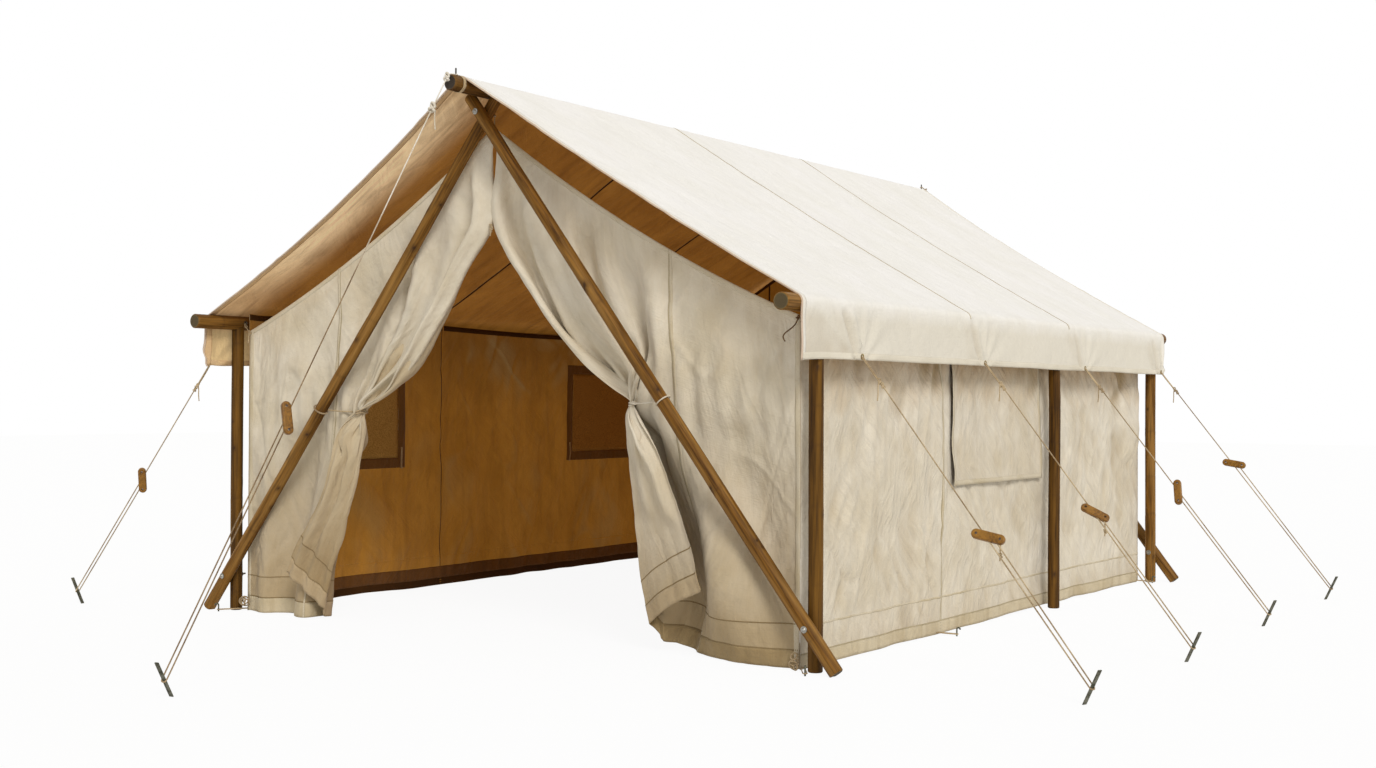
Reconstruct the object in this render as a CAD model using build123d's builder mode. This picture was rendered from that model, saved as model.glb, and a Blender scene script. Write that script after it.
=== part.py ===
from build123d import *
import math
import os

# A frame tent: a pole frame with a ridge pole and two eave poles, six uprights and
# crossed legs at each end, carrying a canvas roof, walls, door curtains and guy ropes.
# Millimetres. +Z is up, +X is to the right seen from the door, +Y runs from door to rear.
# The origin is on the ground under the middle of the ridge pole.

os.makedirs("parts", exist_ok=True)

# frame sizes
bay_length = 4390  # front uprights to rear uprights
middle_bay = 2720  # front uprights to middle uprights
half_span = 1825  # centre line to the axes of the uprights
eave_height = 1575  # axis of the eave poles
ridge_height = 2668  # axis of the ridge pole
ridge_front = 309  # ridge pole ahead of the front uprights
ridge_rear = 425  # ridge pole behind the rear uprights
eave_front = 300
eave_rear = 205
pole_r = 38.5
upright_r = 33
leg_foot_r = 33
leg_top_r = 30
leg_tail = 100  # leg end above the crossing
bolt_height = 193  # bolt that ties a leg to its upright
pole_chamfer = 4
foot_chamfer = 5

# fits
seat_gap = 0.3  # between pieces that bear on each other
pin_gap = 0.15  # radial, a pin in its hole

# fastenings
bolt_r = 5
washer_r = 15
washer_thickness = 2.5
head_r = 9
head_height = 6
nut_width = 16
nut_height = 8
bolt_tail = 18  # thread past the nut
pin_r = 5
pin_in_upright = 80
pin_in_pole = 55
spike_r = 4
spike_in_pole = 55
spike_proud = 36
spike_setback = 42  # spike to the end of the ridge pole
hook_wire_r = 2.5
hook_shank_r = 3
hook_eye_r = 9
hook_in_pole = 14
tab_width = 18
tab_thickness = 2

# canvas
canvas = 3
roof_front_ridge = 235  # roof edge ahead of the front uprights
roof_front_eave = 195
roof_rear_ridge = 400  # roof edge behind the rear uprights
roof_rear_eave = 140
valance_bottom = 1342
wall_inset = 80  # upright axis to the outer face of a side wall
gable_inset = 10  # upright axis to the outer face of an end wall
apex_drop = 55  # end wall apex below the leg crossing
corner_drop = 45  # end wall corner below the eave pole axis
gable_sag = 60
door_half = 1050  # centre line to the seams beside the door
slit_height = 2003  # the curtains part below here

# windows
window_sill = 805
window_head = 1340
window_band = 60
band_thickness = 1.5
screen_thickness = 1
flap_margin = 72  # flap beyond the opening all round
tape_width = 14
tape_length = 130

# guy ropes
rope_r = 3
loop_height = 70  # rope on the stake, above the ground
grommet_in = 9
grommet_out = 14
grommet_rise = 15  # grommet above the valance's lower edge
rope_lead = 2.5
stake_length = 160
stake_width = 20
stake_thickness = 5
stake_lean = 28
slider_length = 145
slider_width = 42
slider_thickness = 24
slider_edge = 7
slider_end_hole_r = 6
bore_gap = 0.5
main_bore = -11  # along the slider from its middle
return_bore = 23

# worked out from the sizes above
y_front = -(bay_length + ridge_rear - ridge_front) / 2
y_middle = y_front + middle_bay
y_rear = y_front + bay_length
pitch = math.atan2(ridge_height - eave_height, half_span)
roof_rise = (pole_r + seat_gap) / math.cos(pitch)
valance_in = half_span + pole_r + seat_gap
valance_out = valance_in + canvas
wall_out = half_span - wall_inset
wall_in = wall_out - canvas
gable_front = y_front + gable_inset
gable_rear = y_rear - gable_inset

# the crossed legs bear on the ridge pole and pass the uprights at the leg bolts
bearing = pole_r + leg_top_r + seat_gap
above_bolt = ridge_height - bolt_height
leg_rise = above_bolt * half_span**2
leg_rise -= bearing * half_span * math.sqrt(above_bolt**2 + half_span**2 - bearing**2)
leg_rise /= half_span**2 - bearing**2
crossing_height = bolt_height + leg_rise
leg_tan = half_span / leg_rise
leg_out = upright_r + leg_foot_r + seat_gap  # leg axis ahead of the upright axis
leg_shift = leg_top_r + seat_gap / 2  # each leg off the middle of the crossing
apex_height = crossing_height - apex_drop
corner_height = eave_height - corner_drop


def roofUnder(x):
    """Height of the roof's inner face at a distance from the centre line."""
    return ridge_height + roof_rise - x * math.tan(pitch)


def save(piece, name):
    piece.part.label = name
    export_step(piece.part, f"parts/{name}.step")


def acrossPlane(y):
    """An upright plane across the tent, its sketches extruded towards the door."""
    return Plane.XZ.offset(-y)


def sidePlane(x):
    """An upright plane along the tent, sketched in Y and Z, extruded towards +X."""
    return Plane.YZ.offset(x)


# ---- poles ----
ridge_start = y_front - ridge_front
ridge_end = y_rear + ridge_rear
spike_ys = [ridge_start + spike_setback, ridge_end - spike_setback]

with BuildPart() as ridge_pole:
    with BuildSketch(acrossPlane(ridge_end)):
        with Locations((0, ridge_height)):
            Circle(pole_r)
    extrude(amount=ridge_end - ridge_start)
    chamfer(ridge_pole.edges().filter_by(GeomType.CIRCLE), pole_chamfer)
    with BuildSketch(Plane.XY.offset(ridge_height + pole_r + 1)):
        with Locations(*[(0, y) for y in spike_ys]):
            Circle(spike_r + pin_gap)
    extrude(amount=-(spike_in_pole + 2), mode=Mode.SUBTRACT)
save(ridge_pole, "ridge_pole")

uprights = {"front": y_front, "middle": y_middle, "rear": y_rear}
hook_ys = [gable_front, gable_rear]
eave_start = y_front - eave_front
eave_end = y_rear + eave_rear

for side, x in (("left", -half_span), ("right", half_span)):
    inward = -math.copysign(1, x)
    with BuildPart() as eave_pole:
        with BuildSketch(acrossPlane(eave_end)):
            with Locations((x, eave_height)):
                Circle(pole_r)
        extrude(amount=eave_end - eave_start)
        chamfer(eave_pole.edges().filter_by(GeomType.CIRCLE), pole_chamfer)
        with BuildSketch(Plane.XY.offset(eave_height - pole_r - 1)):
            with Locations(*[(x, y) for y in uprights.values()]):
                Circle(pin_r + pin_gap)
        extrude(amount=pin_in_pole + 2, mode=Mode.SUBTRACT)
        with BuildSketch(sidePlane(x + inward * (pole_r + 1))):
            with Locations(*[(y, eave_height) for y in hook_ys]):
                Circle(hook_shank_r + pin_gap)
        extrude(amount=-inward * (hook_in_pole + 2), mode=Mode.SUBTRACT)
    save(eave_pole, f"eave_pole_{side}")

# ---- uprights, coped under the eave poles ----
for side, x in (("left", -half_span), ("right", half_span)):
    for place, y in uprights.items():
        with BuildPart() as upright:
            with BuildSketch():
                with Locations((x, y)):
                    Circle(upright_r)
            extrude(amount=eave_height)
            chamfer(upright.faces().sort_by(Axis.Z)[0].edges(), foot_chamfer)
            with BuildSketch(acrossPlane(y + 2 * upright_r)):
                with Locations((x, eave_height)):
                    Circle(pole_r + seat_gap)
            extrude(amount=4 * upright_r, mode=Mode.SUBTRACT)
            with BuildSketch(Plane.XY.offset(eave_height)):
                with Locations((x, y)):
                    Circle(pin_r + pin_gap)
            extrude(amount=-(pole_r + pin_in_upright + 1), mode=Mode.SUBTRACT)
            if place != "middle":
                with BuildSketch(acrossPlane(y + 2 * upright_r)):
                    with Locations((x, bolt_height)):
                        Circle(bolt_r + seat_gap)
                extrude(amount=4 * upright_r, mode=Mode.SUBTRACT)
        save(upright, f"upright_{place}_{side}")

# ---- crossed legs ----
ends = {"front": (y_front, -1), "rear": (y_rear, 1)}


def legPoint(side, end, z):
    """A point of a leg's axis at a height: out by the upright, in at the ridge."""
    y, outward = ends[end]
    share = (z - bolt_height) / leg_rise
    x = side * (crossing_height - z) * leg_tan
    return Vector(x, y + outward * (leg_out + side * leg_shift * share), z)


def legShaft(side, end):
    """Both ends of a leg's axis; the lower one lies a little above the ground."""
    axis = (legPoint(side, end, crossing_height) - legPoint(side, end, bolt_height)).normalized()
    half_foot = 0.4 * leg_foot_r
    top = legPoint(side, end, crossing_height) + axis * leg_tail
    return legPoint(side, end, half_foot), top, axis


for side, hand in ((-1, "left"), (1, "right")):
    for end in ends:
        foot, top, axis = legShaft(side, end)
        y, outward = ends[end]
        with BuildPart() as leg:
            with BuildSketch(Plane(foot, z_dir=axis)):
                Circle(leg_foot_r)
            with BuildSketch(Plane(top, z_dir=axis)):
                Circle(leg_top_r)
            loft()
            split(bisect_by=Plane.XY, keep=Keep.TOP)
            with BuildSketch(acrossPlane(y + 4 * pole_r)):
                with Locations((side * half_span, bolt_height), (0, crossing_height)):
                    Circle(bolt_r + seat_gap)
            extrude(amount=8 * pole_r, mode=Mode.SUBTRACT)
        save(leg, f"{end}_leg_{hand}")

# ---- leg bolts: one through each leg and upright, one through each crossing ----
with BuildPart() as leg_bolts:
    for end, (y, outward) in ends.items():
        bolt_places = []
        for side in (-1, 1):
            outer = leg_out + leg_foot_r + seat_gap
            bolt_places.append((side * half_span, bolt_height, outer, upright_r + seat_gap))
        outer = leg_out + leg_shift + leg_top_r + seat_gap
        inner = leg_shift + leg_top_r - leg_out + seat_gap
        bolt_places.append((0, crossing_height, outer, inner))
        for x, z, outer, inner in bolt_places:
            head_plane = Plane((x, y + outward * outer, z), z_dir=(0, outward, 0))
            nut_plane = Plane((x, y - outward * inner, z), z_dir=(0, -outward, 0))
            with BuildSketch(head_plane):
                Circle(bolt_r)
            extrude(amount=-(outer + inner + nut_height + washer_thickness + bolt_tail))
            with BuildSketch(head_plane, nut_plane):
                Circle(washer_r)
            extrude(amount=washer_thickness)
            with BuildSketch(head_plane.offset(washer_thickness)):
                Circle(head_r)
            with BuildSketch(head_plane.offset(washer_thickness + head_height)):
                Circle(head_r / 2)
            loft()
            with BuildSketch(nut_plane.offset(washer_thickness)):
                RegularPolygon(nut_width / 2, 6, major_radius=False)
            extrude(amount=nut_height)
save(leg_bolts, "leg_bolts")

# ---- pins, spikes and hooks in the poles ----
with BuildPart() as eave_pins:
    with BuildSketch(Plane.XY.offset(eave_height - pole_r - pin_in_upright)):
        with Locations(*[(s * half_span, y) for s in (-1, 1) for y in uprights.values()]):
            Circle(pin_r)
    extrude(amount=pin_in_upright + pin_in_pole)
save(eave_pins, "eave_pins")

with BuildPart() as ridge_spikes:
    for y in spike_ys:
        with BuildSketch(Plane.XY.offset(ridge_height + pole_r - spike_in_pole)):
            with Locations((0, y)):
                Circle(spike_r)
        extrude(amount=spike_in_pole + spike_proud)
    chamfer(ridge_spikes.faces().group_by(Axis.Z)[-1].edges(), spike_r / 2)
save(ridge_spikes, "ridge_spikes")

with BuildPart() as eave_hooks:
    for s in (-1, 1):
        for y in hook_ys:
            face_x = s * (half_span - pole_r)
            with BuildSketch(Plane((face_x + s * hook_in_pole, y, eave_height), z_dir=(-s, 0, 0))):
                Circle(hook_shank_r)
            extrude(amount=hook_in_pole + 2 * hook_wire_r)
            eye = Plane((face_x - s * (hook_eye_r + hook_wire_r), y, eave_height), z_dir=(0, 1, 0))
            with Locations(eye.location):
                Torus(hook_eye_r, hook_wire_r)
save(eave_hooks, "eave_hooks")

# ---- straps that hold the roof's ridge corners to the ridge pole ----
tab_ys = [y_front - roof_front_ridge - 2, ridge_end - pole_chamfer]
with BuildPart() as ridge_tabs:
    for y in tab_ys:
        with BuildSketch(acrossPlane(y)):
            with Locations((0, ridge_height)):
                Circle(pole_r + seat_gap + tab_thickness)
                Circle(pole_r + seat_gap, mode=Mode.SUBTRACT)
        extrude(amount=tab_width)
save(ridge_tabs, "ridge_tabs")

# ---- roof: a flat slope of canvas on each side, with a valance hanging from its eave ----
for side, hand in ((-1, "left"), (1, "right")):
    eave_x = side * valance_out
    front_ridge = y_front - roof_front_ridge
    front_eave = y_front - roof_front_eave
    rear_ridge = y_rear + roof_rear_ridge
    rear_eave = y_rear + roof_rear_eave
    slab = canvas / math.cos(pitch)
    with BuildPart() as roof:
        with BuildSketch(acrossPlane(rear_ridge)):
            with BuildLine():
                Polyline(
                    (0, roofUnder(0)),
                    (eave_x, roofUnder(valance_out)),
                    (eave_x, roofUnder(valance_out) + slab),
                    (0, roofUnder(0) + slab),
                    close=True,
                )
            make_face()
        extrude(amount=rear_ridge - front_ridge)
        with BuildSketch():
            with BuildLine():
                Polyline((0, front_ridge), (eave_x, front_eave), (eave_x, rear_eave), (0, rear_ridge), close=True)
            make_face()
        extrude(amount=2 * ridge_height, mode=Mode.INTERSECT)
        with BuildSketch():
            with Locations((0, spike_ys[1])):
                Circle(2 * spike_r)
        extrude(amount=2 * ridge_height, mode=Mode.SUBTRACT)
    save(roof, f"roof_{hand}")

    with BuildPart() as valance:
        with BuildSketch(sidePlane(side * valance_in)):
            with Locations((front_eave, valance_bottom)):
                Rectangle(
                    rear_eave - front_eave,
                    roofUnder(valance_out) - seat_gap - valance_bottom,
                    align=(Align.MIN, Align.MIN),
                )
        extrude(amount=side * canvas)
    save(valance, f"valance_{hand}")

# ---- windows: (side, name, front edge of the opening, rear edge of the opening) ----
windows = [
    (1, "right", y_front + 1572, y_front + 2598),
    (-1, "left_front", y_front + 512, y_front + 1176),
    (-1, "left_rear", y_front + 2895, y_front + 3559),
]

# ---- side walls, with the window openings ----
for side, hand in ((-1, "left"), (1, "right")):
    with BuildPart() as wall:
        with BuildSketch(sidePlane(side * wall_in)):
            with Locations((gable_front, 0)):
                Rectangle(
                    gable_rear - gable_front,
                    roofUnder(wall_out) - seat_gap,
                    align=(Align.MIN, Align.MIN),
                )
            for window_side, name, y0, y1 in windows:
                if window_side == side:
                    with Locations(((y0 + y1) / 2, (window_sill + window_head) / 2)):
                        Rectangle(y1 - y0, window_head - window_sill, mode=Mode.SUBTRACT)
        extrude(amount=side * canvas)
    save(wall, f"wall_{hand}")

with BuildPart() as window_screens:
    for side, name, y0, y1 in windows:
        with BuildSketch(sidePlane(side * (wall_in + screen_thickness))):
            with Locations(((y0 + y1) / 2, (window_sill + window_head) / 2)):
                Rectangle(y1 - y0 - 2 * seat_gap, window_head - window_sill - 2 * seat_gap)
        extrude(amount=side * screen_thickness)
save(window_screens, "window_screens")

with BuildPart() as window_frames:
    for side, name, y0, y1 in windows:
        width = y1 - y0
        height = window_head - window_sill
        inner_face = side * (wall_in - seat_gap)
        with BuildSketch(sidePlane(inner_face)):
            with Locations(((y0 + y1) / 2, (window_sill + window_head) / 2)):
                Rectangle(width + 2 * window_band, height + 2 * window_band)
                Rectangle(width, height, mode=Mode.SUBTRACT)
        extrude(amount=-side * band_thickness)
        with BuildSketch(sidePlane(inner_face - side * band_thickness)):
            with Locations((y0 - window_band / 2, window_sill), (y1 + window_band / 2, window_sill)):
                Rectangle(tape_width, tape_length)
        extrude(amount=-side * band_thickness)
save(window_frames, "window_frames")

for side, name, y0, y1 in windows:
    with BuildPart() as window_flap:
        with BuildSketch(sidePlane(side * (wall_out + seat_gap))):
            with Locations(((y0 + y1) / 2, (window_sill + window_head) / 2)):
                Rectangle(y1 - y0 + 2 * flap_margin, window_head - window_sill + 2 * flap_margin)
        extrude(amount=side * canvas)
    save(window_flap, f"window_flap_{name}")


# ---- end walls: each half hangs in a shallow curve from its apex to its corner ----
def gableHalf(side, half_width):
    """One half of an end wall, as a sketch in X and Z."""
    middle_x = half_width / 2
    middle_z = (apex_height + corner_height) / 2
    lean = math.atan2(apex_height - corner_height, half_width)
    sag_point = (
        side * (middle_x - gable_sag * math.sin(lean)),
        middle_z - gable_sag * math.cos(lean),
    )
    with BuildSketch() as half:
        with BuildLine():
            Polyline((0, apex_height), (0, 0), (side * half_width, 0), (side * half_width, corner_height))
            ThreePointArc((side * half_width, corner_height), sag_point, (0, apex_height))
        make_face()
    return half.sketch


gable_half = wall_in - seat_gap

with BuildPart() as wall_rear:
    with BuildSketch(acrossPlane(gable_rear)):
        add(gableHalf(-1, gable_half))
        add(gableHalf(1, gable_half))
    extrude(amount=canvas)
save(wall_rear, "wall_rear")

for side, hand in ((-1, "left"), (1, "right")):
    with BuildPart() as front_wall:
        with BuildSketch(acrossPlane(gable_front + canvas)):
            add(gableHalf(side, gable_half))
            with Locations((side * door_half / 2, 0)):
                Rectangle(door_half, 2 * apex_height, mode=Mode.SUBTRACT)
        extrude(amount=canvas)
    save(front_wall, f"front_wall_{hand}")

# ---- door curtains: a drape tied back to each side, falling from its tie ----
# The bundle is given as (middle x, width, middle y from the wall face, depth).
door_sides = {
    "left": {
        "side": -1,
        "tie_height": 1112,
        "edge_sag": 135,
        "bundle": (954, 110, -31, 66),
        "hem": (1262, 275, -95, 130),
        "hem_height": 110,
    },
    "right": {
        "side": 1,
        "tie_height": 1165,
        "edge_sag": 85,
        "bundle": (925, 150, -6, 90),
        "hem": (967, 155, 30, 180),
        "hem_height": 150,
    },
}
tie_band = 12
tie_thickness = 4
bundle_length = 30

for hand, door in door_sides.items():
    side = door["side"]
    tie_height = door["tie_height"]
    bundle_x, bundle_width, bundle_y, bundle_depth = door["bundle"]
    hem_x, hem_width, hem_y, hem_depth = door["hem"]
    bundle_edge = bundle_x - bundle_width / 2
    edge_lean = math.atan2(slit_height - tie_height, bundle_edge)
    edge_sag = (
        side * (bundle_edge / 2 - door["edge_sag"] * math.sin(edge_lean)),
        (slit_height + tie_height) / 2 - door["edge_sag"] * math.cos(edge_lean),
    )
    with BuildPart() as curtain:
        with BuildSketch(acrossPlane(gable_front + canvas)):
            add(gableHalf(side, gable_half))
            with Locations((side * (door_half - seat_gap + gable_half), apex_height)):
                Rectangle(2 * gable_half, 3 * apex_height, mode=Mode.SUBTRACT)
            with BuildLine():
                ThreePointArc((0, slit_height), edge_sag, (side * bundle_edge, tie_height))
                Polyline(
                    (side * bundle_edge, tie_height),
                    (side * 2 * door_half, tie_height),
                    (side * 2 * door_half, -1),
                    (0, -1),
                    (0, slit_height),
                )
            make_face(mode=Mode.SUBTRACT)
        extrude(amount=canvas)
        for height in (tie_height + 1, tie_height - bundle_length):
            with BuildSketch(Plane.XY.offset(height)):
                with Locations((side * bundle_x, gable_front + bundle_y)):
                    RectangleRounded(bundle_width, bundle_depth, bundle_depth / 4)
        loft()
        with BuildSketch(Plane.XY.offset(tie_height - bundle_length)):
            with Locations((side * bundle_x, gable_front + bundle_y)):
                RectangleRounded(bundle_width, bundle_depth, bundle_depth / 4)
        with BuildSketch(Plane.XY.offset(door["hem_height"])):
            with Locations((side * hem_x, gable_front + hem_y)):
                RectangleRounded(hem_width, hem_depth, bundle_depth / 4)
        loft()
    save(curtain, f"door_curtain_{hand}")

# ---- ties that hold the curtains back to the legs ----
with BuildPart() as door_ties:
    for hand, door in door_sides.items():
        side = door["side"]
        bundle_x, bundle_width, bundle_y, bundle_depth = door["bundle"]
        band_z = door["tie_height"] - bundle_length / 2
        with BuildSketch(Plane.XY.offset(band_z - tie_band / 2)):
            with Locations((side * bundle_x, gable_front + bundle_y)):
                grow = 2 * (seat_gap + tie_thickness)
                RectangleRounded(bundle_width + grow, bundle_depth + grow, bundle_depth / 4 + grow / 2)
                grow = 2 * seat_gap
                RectangleRounded(
                    bundle_width + grow,
                    bundle_depth + grow,
                    bundle_depth / 4 + grow / 2,
                    mode=Mode.SUBTRACT,
                )
        extrude(amount=tie_band)
        band_end = Vector(
            side * (bundle_x + bundle_width / 2 + seat_gap + tie_thickness / 2),
            gable_front + bundle_y,
            band_z,
        )
        leg_axis = legShaft(side, "front")[2]
        leg_centre = legPoint(side, "front", band_z + 10)
        reach = (leg_centre - band_end).normalized()
        short_of_axis = (leg_foot_r + tie_thickness / 2) / reach.cross(leg_axis).length
        ring_shift = -short_of_axis * reach.dot(leg_axis) - tie_band / 2
        with BuildSketch(Plane(leg_centre + leg_axis * ring_shift, z_dir=leg_axis)):
            Circle(leg_foot_r + tie_thickness)
            Circle(leg_foot_r + seat_gap, mode=Mode.SUBTRACT)
        extrude(amount=tie_band)
        with BuildSketch(Plane(band_end, z_dir=reach)):
            Circle(rope_r)
        extrude(amount=(leg_centre - band_end).length - short_of_axis)
save(door_ties, "door_ties")

# ---- cords that hold the end walls' corners to the eave hooks, and their apexes to the crossings ----
knot_r = 8
knot_tail = 50

with BuildPart() as corner_ties:
    for end, (y, outward) in ends.items():
        wall_face = y - outward * gable_inset
        for side in (-1, 1):
            hook_low = eave_height - hook_eye_r - hook_wire_r
            start = Vector(
                side * (half_span - pole_r - hook_eye_r - hook_wire_r),
                wall_face,
                hook_low - knot_r - seat_gap,
            )
            finish = Vector(
                side * (gable_half - knot_r),
                wall_face + outward * (knot_r + seat_gap),
                corner_height - knot_r,
            )
            with BuildSketch(Plane(start, z_dir=finish - start)):
                Circle(rope_r)
            extrude(amount=(finish - start).length)
            with Locations(start, finish):
                Sphere(knot_r)
            with BuildSketch(Plane(finish, z_dir=(0, 0, -1))):
                Circle(rope_r)
            extrude(amount=knot_tail)
        loop_top = crossing_height + bolt_r + seat_gap - washer_r / 2
        loop_bottom = apex_height - washer_r / 2
        with BuildSketch(Plane((0, wall_face + outward * (rope_r + seat_gap), (loop_top + loop_bottom) / 2),
                               x_dir=(0, 0, 1), z_dir=(0, -outward, 0))):
            SlotCenterToCenter(loop_top - loop_bottom, washer_r + 2 * rope_r)
            SlotCenterToCenter(loop_top - loop_bottom, washer_r, mode=Mode.SUBTRACT)
        extrude(amount=rope_r)
save(corner_ties, "corner_ties")

# ---- pegs along the side walls, and the loops from the wall hem to each ----
loop_half = 11
loop_hole = 7
loop_z = 8
loop_rise = 6
peg_r = 4
peg_stem = 34
peg_bend = 9
corner_peg = (half_span + 12, y_front - 109)
peg_places = [
    (1, corner_peg, (wall_out + loop_half + seat_gap, gable_front + 2)),
    (-1, corner_peg, (wall_out + loop_half + seat_gap, gable_front + 2)),
]
for side in (-1, 1):
    for y in (y_front + middle_bay / 2, y_rear - 60):
        peg_places.append((side, (wall_out + 110, y), (wall_out + loop_half + seat_gap, y)))

with BuildPart() as peg_loops:
    for side, (peg_x, peg_y), (hem_x, hem_y) in peg_places:
        run = math.hypot(peg_x - hem_x, peg_y - hem_y)
        turn = math.degrees(math.atan2(peg_y - hem_y, side * (peg_x - hem_x)))
        middle = (side * (peg_x + hem_x) / 2, (peg_y + hem_y) / 2, loop_z)
        with BuildSketch(Plane(Location(middle, (0, 0, turn)))):
            SlotCenterToCenter(run, 2 * loop_half)
            SlotCenterToCenter(run, 2 * loop_hole, mode=Mode.SUBTRACT)
        extrude(amount=loop_rise)
save(peg_loops, "peg_loops")

with BuildPart() as wall_pegs:
    for side, (peg_x, peg_y), (hem_x, hem_y) in peg_places:
        away = Vector(side * (peg_x - hem_x), peg_y - hem_y, 0).normalized()
        base = Vector(side * peg_x, peg_y, 0) + away * (loop_hole - peg_r - seat_gap)
        hook_top = base + Vector(0, 0, peg_stem)
        with BuildLine() as peg_path:
            Line(base, hook_top)
            ThreePointArc(
                hook_top,
                hook_top + away * peg_bend + Vector(0, 0, peg_bend),
                hook_top + away * 2 * peg_bend,
            )
        with BuildSketch(Plane(base, z_dir=(0, 0, 1))):
            Circle(peg_r)
        sweep(path=peg_path.wires()[0])
save(wall_pegs, "wall_pegs")

# ---- guy ropes ----
# (name, start of the taut run, point round the stake, slider's share of the run,
#  slider's tilt to the rope, its turn about the rope)
grommet_z = valance_bottom + grommet_rise
side_start = valance_out + rope_lead
over_front = (0, ridge_start - 7, ridge_height + pole_r + rope_r + seat_gap)
over_rear = (0, ridge_end + 7, roofUnder(0) + canvas / math.cos(pitch) + rope_r + seat_gap)
guys = [
    ("right_1", (side_start, y_front + 340, grommet_z), (3078, y_front - 75), 0.576, 40, 130),
    ("right_2", (side_start, y_front + 1675, grommet_z), (3075, y_front + 1200), 0.554, 30, 150),
    ("right_3", (side_start, y_front + 3098, grommet_z), (3036, y_front + 2620), 0.524, 30, 305),
    ("right_4", (side_start, y_front + 4470, grommet_z), (3021, y_front + 4045), 0.444, 40, 115),
    ("left_1", (-side_start, y_front - 150, grommet_z), (-2770, y_front - 327), 0.496, 30, 305),
    ("left_2", (-side_start, y_front + 1385, grommet_z), (-2780, y_front + 1240), 0.53, 35, 60),
    ("left_3", (-side_start, y_front + 2950, grommet_z), (-2785, y_front + 2810), 0.51, 35, 240),
    ("left_4", (-side_start, y_front + 4470, grommet_z), (-2780, y_front + 4360), 0.47, 40, 60),
    ("front", over_front, (67, y_front - 1996), 0.612, 30, 240),
    ("rear", over_rear, (-60, y_rear + 2090), 0.58, 35, 120),
]

# grommets in the valances where the side ropes start
with BuildPart() as valance_grommets:
    for name, start, stake, share, tilt, turn in guys:
        if start[0]:
            side = math.copysign(1, start[0])
            with BuildSketch(Plane((side * valance_out, start[1], grommet_z), z_dir=(side, 0, 0))):
                Circle(grommet_out)
                Circle(grommet_in, mode=Mode.SUBTRACT)
            extrude(amount=2)
save(valance_grommets, "valance_grommets")


def guyFrame(start, stake):
    """Where a rope runs: its loop point, its direction, its flat side and its run."""
    loop = Vector(stake[0], stake[1], loop_height)
    along = (loop - Vector(*start)).normalized()
    flat_out = Vector(along.X, along.Y, 0).normalized()
    sideways = along.cross(Vector(0, 0, 1)).normalized()
    return loop, along, flat_out, sideways


lean = math.radians(stake_lean)
with BuildPart() as stakes:
    for name, start, stake, share, tilt, turn in guys:
        loop, along, flat_out, sideways = guyFrame(start, stake)
        bar = flat_out * math.sin(lean) + Vector(0, 0, math.cos(lean))
        low = loop - bar * (loop_height / math.cos(lean) + stake_width)
        with BuildSketch(Plane(low, x_dir=sideways, z_dir=bar)):
            Rectangle(stake_width, stake_thickness)
        extrude(amount=stake_length + stake_width)
    split(bisect_by=Plane.XY, keep=Keep.TOP)
save(stakes, "stakes")

loop_side = stake_width / 2 + rope_r + seat_gap
loop_past = stake_thickness / 2 + rope_r + 3.5  # rope's far run beyond the stake's middle
loop_turn_r = 6
edge_turn_r = 12  # over the end of the ridge pole
tail_on = "right_1"  # this rope's knotted end hangs from its slider

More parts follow.
